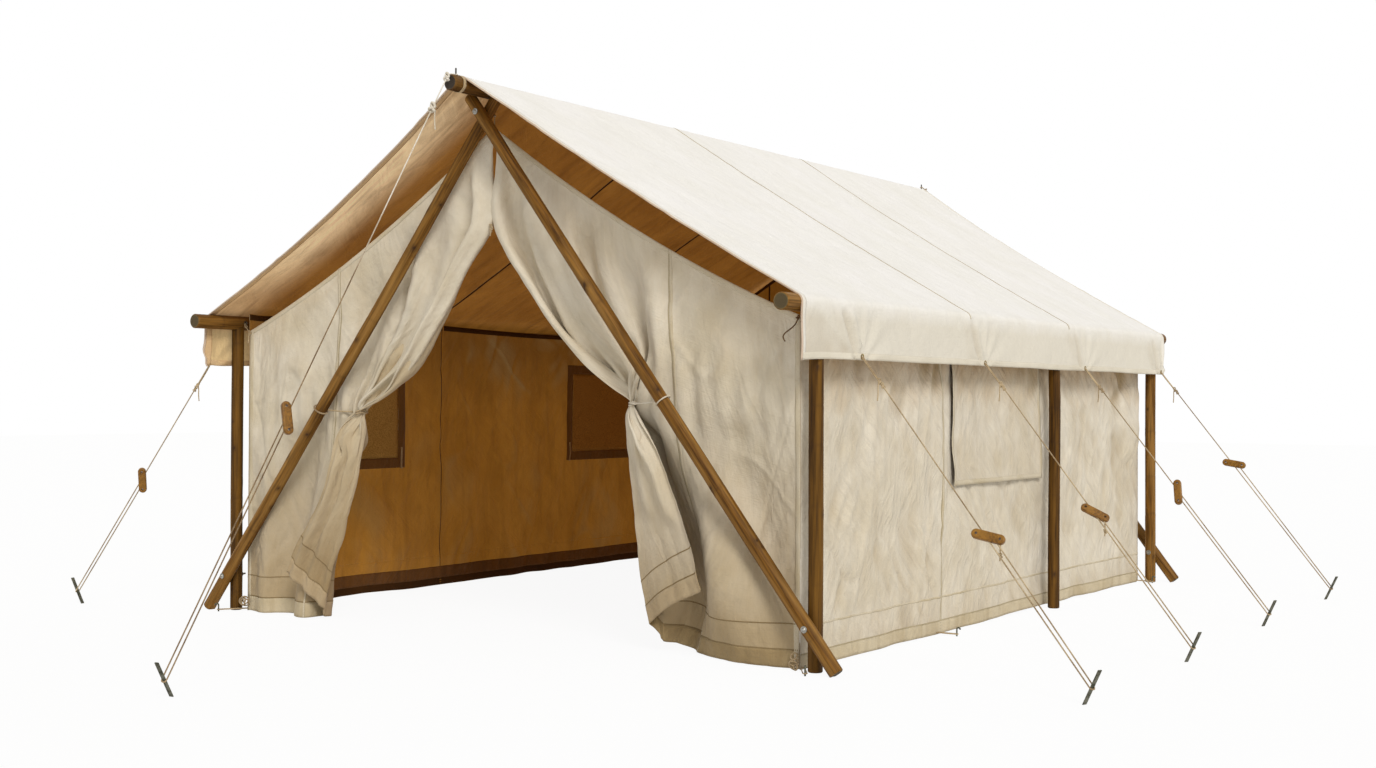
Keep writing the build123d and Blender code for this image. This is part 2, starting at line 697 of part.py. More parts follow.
for name, start, stake, share, tilt, turn in guys:
    loop, along, flat_out, sideways = guyFrame(start, stake)
    up_side = sideways.cross(along)
    across = sideways * math.cos(math.radians(turn)) + up_side * math.sin(math.radians(turn))
    hand = math.copysign(1, across.dot(sideways))
    near_corner = loop - sideways * hand * loop_side + along * loop_past
    far_corner = loop + sideways * hand * loop_side + along * loop_past
    run = near_corner - Vector(*start)
    direction = run.normalized()
    lean_axis = (across - direction * across.dot(direction)).normalized()
    slider_axis = direction * math.cos(math.radians(tilt)) + lean_axis * math.sin(math.radians(tilt))
    slider_face = direction.cross(lean_axis).normalized()
    on_rope = Vector(*start) + run * share
    slider_middle = on_rope - slider_axis * main_bore
    return_at = slider_middle + slider_axis * return_bore
    return_dir = (return_at - far_corner).normalized()
    body = Plane(slider_middle, x_dir=slider_axis, z_dir=slider_face)
    bore_plane = Plane(on_rope - direction * slider_length, z_dir=direction)
    return_plane = Plane(return_at - return_dir * slider_length, z_dir=return_dir)

    # wooden slider: a round-ended bar, the rope through two slanted bores
    with BuildPart() as slider:
        with BuildSketch(body.offset(-slider_thickness / 2)):
            SlotOverall(slider_length, slider_width)
        extrude(amount=slider_thickness)
        fillet(slider.edges(), slider_edge)
        hole_at = slider_length / 2 - slider_width / 2
        with BuildSketch(body.offset(-slider_thickness)):
            with Locations((-hole_at, 0), (hole_at, 0)):
                Circle(slider_end_hole_r)
        extrude(amount=2 * slider_thickness, mode=Mode.SUBTRACT)
        with BuildSketch(bore_plane):
            Circle(rope_r + bore_gap)
        extrude(amount=2 * slider_length, mode=Mode.SUBTRACT)
        with BuildSketch(return_plane):
            Circle(rope_r + bore_gap)
        extrude(amount=slider_length + bore_gap, mode=Mode.SUBTRACT)
    save(slider, f"slider_{name}")

    # rope: down through the slider, round the stake and back into the slider
    points = [Vector(*start), near_corner, far_corner, return_at]
    radii = [loop_turn_r, loop_turn_r]
    over_pole = not start[0]
    if over_pole:
        back = math.copysign(1, start[1])
        spike_y = spike_ys[0] if back < 0 else spike_ys[1]
        points.insert(0, Vector(0, spike_y + back * (spike_r + seat_gap + rope_r), start[2]))
        radii.insert(0, edge_turn_r)
    with BuildPart() as rope:
        with BuildLine() as route:
            FilletPolyline(*points, radius=radii)
        path = route.wires()[0]
        with BuildSketch(Plane(points[0], z_dir=points[1] - points[0])):
            Circle(rope_r)
        sweep(path=path)
        tube_share = rope.part.volume / (math.pi * rope_r**2 * path.length)
        if over_pole:
            with BuildSketch(Plane.XY.offset(start[2] - rope_r)):
                with Locations((0, spike_y)):
                    Circle(spike_r + seat_gap + 2 * rope_r)
                    Circle(spike_r + seat_gap, mode=Mode.SUBTRACT)
            extrude(amount=2 * rope_r)
        if name == tail_on:
            edge = slider_face.cross(slider_axis)
            low_edge = edge * -math.copysign(1, edge.Z)
            tail_top = slider_middle + low_edge * (slider_width / 2 + 0.6 * rope_r)
            with BuildSketch(Plane(tail_top, z_dir=(0, 0, -1))):
                Circle(rope_r)
            extrude(amount=knot_tail)
            with Locations(tail_top - Vector(0, 0, knot_tail)):
                Sphere(2 * rope_r)
    save(rope, f"guy_rope_{name}")
    print(f"guy_rope_{name}: length {path.length:.0f}, radii {radii}, volume share {tube_share:.4f}")
    print(f"  slider moves along {tuple(round(v, 5) for v in direction)}")
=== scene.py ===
import math
import bpy
import numpy as np
from mathutils import Matrix, Vector


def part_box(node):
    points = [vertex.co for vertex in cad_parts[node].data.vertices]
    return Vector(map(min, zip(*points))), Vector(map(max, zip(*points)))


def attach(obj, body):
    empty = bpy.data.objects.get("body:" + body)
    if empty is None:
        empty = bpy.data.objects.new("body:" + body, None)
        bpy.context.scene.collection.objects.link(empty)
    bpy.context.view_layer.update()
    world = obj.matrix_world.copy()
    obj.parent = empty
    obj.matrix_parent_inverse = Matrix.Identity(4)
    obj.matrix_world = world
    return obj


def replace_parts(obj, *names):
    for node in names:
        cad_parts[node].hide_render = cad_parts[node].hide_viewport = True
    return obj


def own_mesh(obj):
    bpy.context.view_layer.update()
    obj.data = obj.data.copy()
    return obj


# A canvas frame tent on its pole frame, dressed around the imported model. Metres, +Z up.
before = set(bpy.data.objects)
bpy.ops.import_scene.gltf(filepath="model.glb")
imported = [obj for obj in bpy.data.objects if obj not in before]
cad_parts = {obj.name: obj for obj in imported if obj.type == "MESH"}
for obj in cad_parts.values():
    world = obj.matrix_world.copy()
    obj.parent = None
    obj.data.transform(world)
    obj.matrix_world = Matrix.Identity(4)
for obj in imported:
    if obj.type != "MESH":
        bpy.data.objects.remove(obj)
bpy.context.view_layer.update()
print("frame loaded:", len(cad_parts), "nodes")


def middle(node):
    low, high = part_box(node)
    return (low + high) / 2


def vertsOf(node):
    return np.array([v.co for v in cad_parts[node].data.vertices])


# the places that the frame gives
frontY, middleY, rearY = (middle(f"upright_{place}_right").y for place in ("front", "middle", "rear"))
halfSpan = middle("upright_front_right").x
eaveZ, ridgeZ = middle("eave_pole_right").z, middle("ridge_pole").z
ridgeLow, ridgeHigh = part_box("ridge_pole")
eaveLow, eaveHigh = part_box("eave_pole_right")
poleRadius = (ridgeHigh.z - ridgeLow.z) / 2
roofLow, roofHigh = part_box("roof_right")
valanceLow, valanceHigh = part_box("valance_right")
valanceOut, valanceBottom = valanceHigh.x, valanceLow.z
valanceDrop = eaveZ - valanceBottom
wallOut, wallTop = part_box("wall_right")[1].x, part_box("wall_right")[1].z
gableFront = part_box("front_wall_right")[0].y
gableRear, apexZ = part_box("wall_rear")[1].y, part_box("wall_rear")[1].z
pitch = math.atan2(ridgeZ - eaveZ, halfSpan)
handOf = {-1: "left", 1: "right"}
plumb = Vector((0, 0, 1))
# canvas thickness, and how strips of it are sewn on
sewn = {"thick": 0.0016, "lift": 0.001, "over": 0.0036, "edge": 0.006, "deepest": 0.0065}


def linear(hexColour):
    parts = [int(hexColour[i:i + 2], 16) / 255 for i in (1, 3, 5)]
    return [*(c / 12.92 if c <= 0.04045 else ((c + 0.055) / 1.055) ** 2.4 for c in parts), 1.0]


def addNode(tree, kind, links=None, **settings):
    # settings are the node's own; links are its inputs, each a value or another node's output;
    # what comes back is the new node's outputs
    node = tree.nodes.new("ShaderNode" + kind)
    for key, value in settings.items():
        setattr(node, key, value)
    for key, value in (links or {}).items():
        if isinstance(value, bpy.types.NodeSocket):
            tree.links.new(value, node.inputs[key])
        else:
            node.inputs[key].default_value = value
    return node.outputs


def newMaterial(name, settings):
    material = bpy.data.materials.new(name)
    material.use_nodes = True
    surface = material.node_tree.nodes["Principled BSDF"]
    for key, value in settings.items():
        surface.inputs[key].default_value = value
    return material, material.node_tree, surface


def smooth(x, low, high):
    t = np.clip((x - low) / (high - low), 0, 1)
    return t * t * (3 - 2 * t)


def noise(x, y, seed):
    # smooth random values from -1 to 1, one new value each unit
    lattice = np.random.default_rng(seed).uniform(-1, 1, (97, 97))
    x, y = np.broadcast_arrays(np.asarray(x, float), np.asarray(y, float))
    ix, iy = np.floor(x).astype(int), np.floor(y).astype(int)
    fx, fy = x - ix, y - iy
    fx, fy = fx * fx * (3 - 2 * fx), fy * fy * (3 - 2 * fy)
    near = lattice[ix % 97, iy % 97] * (1 - fx) + lattice[(ix + 1) % 97, iy % 97] * fx
    far = lattice[ix % 97, (iy + 1) % 97] * (1 - fx) + lattice[(ix + 1) % 97, (iy + 1) % 97] * fx
    return near * (1 - fy) + far * fy


def slanted(a, b, angle):
    # the way along that slant over the cloth, and the way across it
    turn = math.radians(angle)
    return a * math.cos(turn) + b * math.sin(turn), b * math.cos(turn) - a * math.sin(turn)


def creases(a, b, seed, angle, length, spacing):
    # sharp ridges of that length and spacing
    along, across = slanted(a, b, angle)
    across = across + 0.35 * spacing * noise(along / spacing / 3, across / spacing / 2, seed + 5)
    return 1 - 2 * np.abs(noise(along / length, across / spacing, seed))


def lonely(a, b, seed, angle, length, spacing):
    # single long curving creases with quiet cloth between them
    along, across = slanted(a, b, angle)
    value = noise(along / length, across / spacing, seed)
    return np.exp(-(value / 0.11) ** 2) * smooth(noise(along * 2.1, across * 2.9, seed + 1), -0.45, 0.35)


def wrinkles(a, b, seed):
    # canvas that has been packed wet and pulled tight: slanting creases in two directions, in patches
    patch = smooth(noise(a * 1.5, b * 1.5, seed + 1), -0.35, 0.35)
    fine = creases(a, b, seed + 2, 60, 0.34, 0.085) * patch
    fine = fine + creases(a, b, seed + 3, -46, 0.30, 0.090) * (1 - patch)
    steep = creases(a, b, seed + 9, 82, 0.46, 0.120) * smooth(noise(a * 1.1, b * 1.1, seed + 11), -0.1, 0.5)
    broad = noise(a * 2.6 + b, b * 2.1, seed + 4)
    sharp = lonely(a, b, seed + 13, 68, 0.42, 0.21) - lonely(a, b, seed + 15, -52, 0.38, 0.23)
    return 0.0040 * fine + 0.0034 * steep + 0.0050 * broad + 0.0042 * sharp


def hollows(a, b, seed):
    # 1 in the deepest hollows between those creases
    return np.clip(-wrinkles(a, b, seed) / sewn["deepest"], 0, 1)


def meshFrom(name, points, faces, materials):
    mesh = bpy.data.meshes.new(name)
    mesh.from_pydata(np.asarray(points).tolist(), [], faces)
    mesh.update()
    mesh.polygons.foreach_set("use_smooth", [True] * len(mesh.polygons))
    for material in materials:
        mesh.materials.append(material)
    made = bpy.data.objects.new(name, mesh)
    bpy.context.scene.collection.objects.link(made)
    return made


def pointValues(piece, name, values, kind="FLOAT", key="value"):
    layer = piece.data.attributes.new(name, kind, "POINT")
    layer.data.foreach_set(key, values.astype(np.float32).ravel())


def own(piece, slot, *nodes, body="frame"):
    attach(piece, body)
    if nodes:
        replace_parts(piece, *nodes)
    return piece


def steps(*stops, pitchOf=0.012):
    # evenly spaced values through every stop
    runs = [np.linspace(a, b, max(2, int(round((b - a) / pitchOf)) + 1))[:-1] for a, b in zip(stops, stops[1:])]
    return np.concatenate([*runs, [stops[-1]]])


def clothSheet(name, across, down, place, materials, flip=False, lift=0.0, thick=sewn["thick"], gap=None):
    # a sheet over the grid across x down; place turns cloth metres into points, gap cuts openings
    a, b = np.meshgrid(across, down, indexing="ij")
    points = place(a, b)
    if lift:
        step = 1e-4
        normal = np.cross(place(a + step, b) - points, place(a, b + step) - points)
        normal /= np.linalg.norm(normal, axis=-1, keepdims=True) + 1e-12
        points = points + normal * (lift * (-1 if flip else 1))
    index = np.arange(a.size).reshape(a.shape)
    faces = np.stack([index[:-1, :-1], index[1:, :-1], index[1:, 1:], index[:-1, 1:]], -1)
    if flip:
        faces = faces[..., ::-1]
    faces = faces.reshape(-1, 4)
    if gap is not None:
        cut = gap((a[:-1, :-1] + a[1:, 1:]) / 2, (b[:-1, :-1] + b[1:, 1:]) / 2)
        faces = faces[~cut.reshape(-1)]
    made = meshFrom(name, points.reshape(-1, 3), faces.tolist(), materials)
    corners = np.zeros(len(made.data.loops), int)
    made.data.loops.foreach_get("vertex_index", corners)
    threads = np.stack([a, b], -1).reshape(-1, 2).astype(np.float32)
    made.data.uv_layers.new(name="cloth").data.foreach_set("uv", threads[corners].ravel())
    shell = made.modifiers.new("thickness", "SOLIDIFY")
    shell.thickness = thick
    shell.offset = -1
    shell.material_offset = len(materials) - 1
    return made


def bothFaces(name, across, down, place, materials, flip):
    # a strip sewn round both faces of a sheet
    strip = clothSheet(name, across, down, place, materials, flip, sewn["lift"], sewn["over"])
    return own(strip, "wall_canvas")


def stainAndShadeOn(piece, across, down, amountAt):
    # darkening in the cloth, point by point over its grid: old dirt, and painted shade in hollows and shaded
    # corners
    a, b = np.meshgrid(across, down, indexing="ij")
    pointValues(piece, "stain", np.clip(amountAt(a, b), 0, 1))


def runOf(line):
    return np.concatenate([[0], np.cumsum(np.linalg.norm(np.diff(line, axis=0), axis=1))])


def skin(index, closed=False):
    # four-cornered faces between neighbouring rings of points
    after = np.roll(index, -1, 1)
    faces = np.stack([index[:-1], after[:-1], after[1:], index[1:]], -1).reshape(-1, 4).tolist()
    if closed:
        faces += np.stack([index[-1], after[-1], after[0], index[0]], -1).reshape(-1, 4).tolist()
    return faces


def laidRope(name, line, radius, material, lay, sides=10, closed=False, body="frame", nodes=()):
    # rope of three strands, each once round the rope in the length of its lay
    line = np.asarray(line, float)
    count = len(line)
    ahead = np.roll(line, -1, 0) - np.roll(line, 1, 0)
    if not closed:
        ahead[0], ahead[-1] = line[1] - line[0], line[-1] - line[-2]
    ahead /= np.linalg.norm(ahead, axis=1, keepdims=True)
    side = np.zeros_like(line)
    first = np.cross(ahead[0], [0, 0, 1.0])
    if np.linalg.norm(first) < 0.1:
        first = np.cross(ahead[0], [0, 1.0, 0])
    side[0] = first / np.linalg.norm(first)
    for i in range(1, count):
        turned = side[i - 1] - ahead[i] * (side[i - 1] @ ahead[i])
        side[i] = turned / np.linalg.norm(turned)
    up = np.cross(ahead, side)
    angle = np.linspace(0, math.tau, sides, endpoint=False)
    radii = radius * (1 + 0.10 * np.cos(3 * (angle[None] - math.tau * runOf(line)[:, None] / lay)))
    ring = side[:, None] * np.cos(angle)[None, :, None] + up[:, None] * np.sin(angle)[None, :, None]
    points = (line[:, None] + ring * radii[..., None]).reshape(-1, 3)
    index = np.arange(count * sides).reshape(count, sides)
    faces = skin(index, closed)
    if not closed:
        faces += [index[0][::-1].tolist(), index[-1].tolist()]
    return own(meshFrom(name, points, faces, [material]), "rope", *nodes, body=body)


bpy.context.scene.view_settings.view_transform = "Standard"
view = {"place": (5.336, -8.468, 1.160), "turn": 33.88, "rise": 0.57, "roll": 0.25, "lens": 43.46, "sensor": 36}
turn, rise, roll = (math.radians(view[key]) for key in ("turn", "rise", "roll"))
ahead = Vector((-math.sin(turn) * math.cos(rise), math.cos(turn) * math.cos(rise), math.sin(rise)))
level = Vector((math.cos(turn), math.sin(turn), 0))
right = level * math.cos(roll) + level.cross(ahead) * math.sin(roll)
camera = bpy.data.objects.new("camera", bpy.data.cameras.new("camera"))
camera.data.sensor_width = view["sensor"]
camera.data.lens = view["lens"]
camera.data.clip_end = 200
camera.matrix_world = Matrix.Translation(view["place"]) @ Matrix(
    (right, right.cross(ahead), -ahead)).transposed().to_4x4()
bpy.context.scene.collection.objects.link(camera)
bpy.context.scene.camera = camera

studio = {"sky": 0.53, "skyColour": "#fffefc", "key": 1.78, "keyFrom": (0.76, -0.60, 0.78), "keyAngle": 20,
          "keyColour": (1.0, 0.985, 0.955), "floor": "#f4f3f0", "floorGlow": 0.93, "floorHalf": 40}
white = {"Color": (1, 1, 1, 1), "Strength": 1.0}


def seenOn(tree):
    # 1 where the backdrop is looked at, straight or in a reflection
    path = addNode(tree, "LightPath")
    return path, addNode(tree, "Math", {0: path["Is Camera Ray"], 1: path["Is Glossy Ray"]}, operation="MAXIMUM")[0]


world = bpy.data.worlds.new("studio")
bpy.context.scene.world = world
world.use_nodes = True
sky = world.node_tree
back = sky.nodes["Background"]
back.inputs["Color"].default_value = linear(studio["skyColour"])
back.inputs["Strength"].default_value = studio["sky"]
path, seen = seenOn(sky)
seen = addNode(sky, "Math", {0: seen, 1: path["Is Transmission Ray"]}, operation="MAXIMUM")[0]
both = addNode(sky, "MixShader", {0: seen, 1: back.outputs[0], 2: addNode(sky, "Background", white)[0]})[0]
sky.links.new(both, sky.nodes["World Output"].inputs["Surface"])

key = bpy.data.objects.new("key", bpy.data.lights.new("key", "SUN"))
key.data.energy = studio["key"]
key.data.angle = math.radians(studio["keyAngle"])
key.data.color = studio["keyColour"]
key.rotation_euler = Vector(studio["keyFrom"]).to_track_quat("Z", "Y").to_euler()
bpy.context.scene.collection.objects.link(key)

floorPaint, tree, surface = newMaterial("palePaintedFloor", {"Roughness": 0.9,
                                                             "Base Color": linear(studio["floor"])})
share = addNode(tree, "Math", {0: seenOn(tree)[1], 1: studio["floorGlow"]}, operation="MULTIPLY")[0]
mixed = addNode(tree, "MixShader", {0: share, 1: surface.outputs[0], 2: addNode(tree, "Emission", white)[0]})[0]
tree.links.new(mixed, tree.nodes["Material Output"].inputs["Surface"])
half = studio["floorHalf"]
floor = meshFrom("floor", [(-half, -half, 0), (half, -half, 0), (half, half, 0), (-half, half, 0)], [(0, 1, 2, 3)],
                 [floorPaint])
print("camera, lights and floor")


def canvasMaterial(name, base, warm, dirt, streak=0.5, zones=(), glow=0.0, sunny=None, ragged=0.24, worn=1.0):
    # cotton canvas, plain woven: matt, faintly fuzzy, with slubs along both threads, creases and soft stains
    material, tree, surface = newMaterial(name, {"Roughness": 0.92, "Sheen Weight": 0.10,
                                                 "Sheen Roughness": 0.6, "Specular IOR Level": 0.2,
                                                 "Emission Strength": glow})
    cloth = addNode(tree, "UVMap", uv_map="cloth")[0]
    place = addNode(tree, "TexCoord")["Object"]
    # threads lie 0.6 mm apart; they are drawn as 4 mm slubs so that they show
    warpMap = addNode(tree, "Mapping", {"Vector": cloth, "Scale": (260, 9, 1)})[0]
    weftMap = addNode(tree, "Mapping", {"Vector": cloth, "Scale": (9, 260, 1)})[0]
    warp = addNode(tree, "TexNoise", {"Vector": warpMap, "Scale": 1.0, "Detail": 3.0})[0]
    weft = addNode(tree, "TexNoise", {"Vector": weftMap, "Scale": 1.0, "Detail": 3.0})[0]
    weave = addNode(tree, "Math", {0: warp, 1: weft}, operation="ADD")[0]
    stain = addNode(tree, "TexNoise", {"Vector": place, "Scale": 2.6, "Detail": 6.0, "Roughness": 0.6})[0]
    stainAt = addNode(tree, "MapRange", {0: stain, 1: 0.36, 2: 0.66, 3: 0.0, 4: 1.0})[0]
    rubMap = addNode(tree, "Mapping", {"Vector": cloth, "Rotation": (0, 0, 0.2), "Scale": (9, 1.8, 1)})[0]
    rub = addNode(tree, "TexNoise", {"Vector": rubMap, "Scale": 1.0, "Detail": 6.0, "Roughness": 0.65,
                                     "Distortion": 0.5})[0]
    rubAt = addNode(tree, "MapRange", {0: rub, 1: 0.46, 2: 0.78, 3: 0.0, 4: streak})[0]
    colour = addNode(tree, "Mix", {0: stainAt, 6: linear(base), 7: linear(warm)}, data_type="RGBA")[2]
    parts = addNode(tree, "SeparateXYZ", {0: place})
    if sunny:
        # the overhang's underside is lit from below, most on its left half
        fore = addNode(tree, "MapRange", {0: parts["Y"], 1: sunny["y"][0], 2: sunny["y"][1]},
                       interpolation_type="SMOOTHSTEP")[0]
        left = addNode(tree, "MapRange", {0: parts["X"], 1: sunny["x"][0], 2: sunny["x"][1],
                                          3: sunny["least"], 4: 1.0}, interpolation_type="SMOOTHSTEP")[0]
        low = addNode(tree, "MapRange", {0: parts["X"], 1: sunny["eave"][0], 2: sunny["eave"][1], 3: 1.0,
                                         4: 0.45}, interpolation_type="SMOOTHSTEP")[0]
        share = addNode(tree, "Math", {0: fore, 1: left}, operation="MULTIPLY")[0]
        share = addNode(tree, "Math", {0: share, 1: low}, operation="MULTIPLY")[0]
        colour = addNode(tree, "Mix", {0: share, 6: colour, 7: linear(sunny["colour"])}, data_type="RGBA")[2]
    colour = addNode(tree, "Mix", {0: rubAt, 6: colour, 7: linear(dirt)}, data_type="RGBA")[2]
    # soft ragged zones, given by two heights, a colour and its share: soil at the foot of the walls, and elsewhere
    # the tints and painted shade that each material names
    torn = addNode(tree, "TexNoise", {"Vector": place, "Scale": 7.0, "Detail": 5.0})[0]
    lifted = addNode(tree, "Math", {0: torn, 1: ragged, 2: parts["Z"]}, operation="MULTIPLY_ADD")[0]
    for start, full, zoneColour, most in zones:
        at = addNode(tree, "MapRange", {0: lifted, 1: start + ragged / 2, 2: full + ragged / 2, 3: 0.0,
                                        4: most})[0]
        colour = addNode(tree, "Mix", {0: at, 6: colour, 7: linear(zoneColour)}, data_type="RGBA")[2]
    # darkening that each cloth carries point by point: dirt in its hollows, and painted shade in the hollows and on
    # the valance's front corner and pleats
    dirtAndShade = addNode(tree, "Attribute", attribute_name="stain")["Fac"]
    colour = addNode(tree, "Mix", {0: dirtAndShade, 6: colour, 7: linear("#9a8154")}, data_type="RGBA")[2]
    # creases from folding: fine ridges at three slants, each in its own patches
    height = addNode(tree, "Math", {0: weave, 1: 0.8}, operation="MULTIPLY")[0]
    patch = addNode(tree, "TexNoise", {"Vector": cloth, "Scale": 2.2, "Detail": 2.0})[0]
    for number, (slant, low, high) in enumerate(((0.95, 0.42, 0.6), (-0.75, 0.58, 0.4), (1.45, 0.35, 0.65))):
        creaseMap = addNode(tree, "Mapping", {"Vector": cloth, "Rotation": (0, 0, slant),
                                              "Location": (number, 3, 0), "Scale": (0.30, 0.060, 1)},
                                              vector_type="TEXTURE")[0]
        crease = addNode(tree, "TexNoise", {"Vector": creaseMap, "Scale": 1.0, "Detail": 2.0,
                                            "Distortion": 0.5})[0]
        off = addNode(tree, "Math", {0: crease, 1: 0.5}, operation="SUBTRACT")[0]
        off = addNode(tree, "Math", {0: off}, operation="ABSOLUTE")[0]
        where = addNode(tree, "MapRange", {0: patch, 1: low, 2: high, 3: 0.0, 4: -8.0 * worn})[0]
        height = addNode(tree, "Math", {0: off, 1: where, 2: height}, operation="MULTIPLY_ADD")[0]
    # the same heights tint the colour: the weave's own tone, and painted shade in the creases
    thread = addNode(tree, "MapRange", {0: height, 1: -1.4, 2: 1.0, 3: 0.92, 4: 1.03})[0]
    colour = addNode(tree, "Mix", {0: 1.0, 6: colour, 7: thread}, data_type="RGBA", blend_type="MULTIPLY")[2]
    tree.links.new(colour, surface.inputs["Base Color"])
    # the glow is painted light, standing in for daylight coming through the cloth
    if glow:
        tree.links.new(colour, surface.inputs["Emission Color"])
    crumple = addNode(tree, "TexNoise", {"Vector": place, "Scale": 13.0, "Detail": 5.0, "Roughness": 0.6})[0]
    height = addNode(tree, "Math", {0: crumple, 1: 5.0, 2: height}, operation="MULTIPLY_ADD")[0]
    bump = addNode(tree, "Bump", {"Height": height, "Strength": 0.7, "Distance": 0.0024})[0]
    tree.links.new(bump, surface.inputs["Normal"])
    return material


# lowSoil is soil at the foot of the walls; the tint under the eave is partly stain, partly painted shade under the
# valance
lowSoil, underEaveStainAndShade = "#a68c62", "#b08a50"
roofCanvas = canvasMaterial("bleachedRoofCanvas", "#f3f0ec", "#efece5", "#e2dcd0", streak=0.22, ragged=0.05,
                            worn=0.35, zones=[(eaveZ + 0.05, eaveZ - 0.06, "#d9d1bf", 0.8)])
wallCanvas = canvasMaterial("unbleachedWallCanvas", "#e1d8c7", "#d3c7b0", "#b19a72", streak=0.30, ragged=0.40,
                            worn=1.7, zones=[(1.12, 1.50, underEaveStainAndShade, 0.72), (0.22, -0.10, lowSoil, 0.40)])
# the curtains darken towards the foot: partly soil, partly painted shade on the falls
curtainCanvas = canvasMaterial("unbleachedCurtainCanvas", "#ddd3c0", "#d0c3a9", "#ab936b", streak=0.3,
                               zones=[(1.0, 0.15, "#a1875b", 0.72)])
# the left curtain's lining is a darker copy of the curtain canvas: painted shade on the left fall
leftLiningInShade = canvasMaterial("leftCurtainLiningInPaintedShade", "#cfbfa2", "#bfac8b", "#947850", streak=0.35,
                               zones=[(1.0, 0.15, "#8f754b", 0.72)])
flapLining = canvasMaterial("shadedFlapLining", "#4a371c", "#3d2c14", "#281b0a", streak=0.4)
# inside, daylight comes through the cloth and turns it amber: that amber and its glow are painted light; up under
# the eave the inside is painted darker, as shade, and the inside canvas is also darker at its foot
insideCanvas = canvasMaterial("canvasLitThrough", "#b07d30", "#a27025", "#764c15", streak=0.55, glow=0.23,
                              zones=[(1.15, 1.60, "#7a4c14", 0.5), (0.12, -0.08, "#5a3408", 0.7)])
insideWall = canvasMaterial("wallCanvasLitThrough", "#b07d30", "#a27025", "#764c15", streak=0.55, glow=0.23,
                            zones=[(1.10, 1.50, "#6f4813", 0.6)])
# below the eave this cloth hangs outside the walls as the valance; its inner face there is painted a paler tan,
# standing in for the light it gets outside
insideRoof = canvasMaterial("roofCanvasLitThrough", "#a8742f", "#966425", "#6d4314", streak=0.7, glow=0.32,
                            ragged=0.02, sunny={"y": (frontY + 0.22, frontY - 0.10), "x": (0.15, -0.35),
                                                "least": 0.24, "eave": (-1.15, -1.65), "colour": "#f2d6aa"},
                            zones=[(eaveZ - 0.02, eaveZ - 0.06, "#bfa87c", 0.8)])
# the window bands, seen from inside, glow faintly: painted light
bandCanvas = canvasMaterial("darkWindowBand", "#6f4a1c", "#634016", "#4a2f10", streak=0.4, glow=0.10)
hemCanvas = canvasMaterial("doubledHemCanvas", "#bfab8a", "#b09a78", "#8d7650", streak=0.4)
sodCanvas = canvasMaterial("muddyGroundBand", "#ac9670", "#9a835b", "#7c653f", streak=0.6)
creamBand = canvasMaterial("creamGroundBand", "#cec0a4", "#bfae8c", "#98825b", streak=0.6)
# the skirt seen from inside is dark where the doubled cloth lets less daylight through, painted shade, and glows
# faintly, painted light
skirtCanvas = canvasMaterial("skirtInsideInPaintedShade", "#71491a", "#5f3b12", "#3d2509", streak=0.6, glow=0.10)
pipingCanvas = canvasMaterial("pinkTanBinding", "#d8c3ae", "#cdb59c", "#b3967a", streak=0.4)


def woodMaterial(name, light, middleTone, dark, gloss=0.55):
    # a peeled pole, oiled and handled: long grain, dark round its knots
    material, tree, surface = newMaterial(name, {"Roughness": gloss, "Specular IOR Level": 0.16})
    grain = addNode(tree, "Attribute", attribute_name="grain")["Vector"]
    knot = addNode(tree, "Attribute", attribute_name="knot")["Fac"]
    # growth lines 3 mm apart that run 20 times as far along the pole
    lineMap = addNode(tree, "Mapping", {"Vector": grain, "Scale": (150, 150, 5)})[0]
    lines = addNode(tree, "TexNoise", {"Vector": lineMap, "Scale": 1.0, "Detail": 5.0, "Roughness": 0.65})[0]
    wideMap = addNode(tree, "Mapping", {"Vector": grain, "Scale": (28, 28, 1.6)})[0]
    wide = addNode(tree, "TexNoise", {"Vector": wideMap, "Scale": 1.0, "Detail": 4.0})[0]
    tone = addNode(tree, "MapRange", {0: lines, 1: 0.36, 2: 0.62})[0]
    colour = addNode(tree, "Mix", {0: tone, 6: linear(dark), 7: linear(middleTone)}, data_type="RGBA")[2]
    wideAt = addNode(tree, "MapRange", {0: wide, 1: 0.42, 2: 0.72, 3: 0.0, 4: 0.75})[0]
    colour = addNode(tree, "Mix", {0: wideAt, 6: colour, 7: linear(light)}, data_type="RGBA")[2]
    knotAt = addNode(tree, "Math", {0: knot, 1: 0.85}, operation="MULTIPLY")[0]
    colour = addNode(tree, "Mix", {0: knotAt, 6: colour, 7: linear("#2e1c10")}, data_type="RGBA")[2]
    tree.links.new(colour, surface.inputs["Base Color"])
    rough = addNode(tree, "MapRange", {0: lines, 1: 0.3, 2: 0.7, 3: gloss + 0.15, 4: gloss - 0.05})[0]
    tree.links.new(rough, surface.inputs["Roughness"])
    bump = addNode(tree, "Bump", {"Height": lines, "Strength": 0.5, "Distance": 0.0015})[0]
    tree.links.new(bump, surface.inputs["Normal"])
    return material


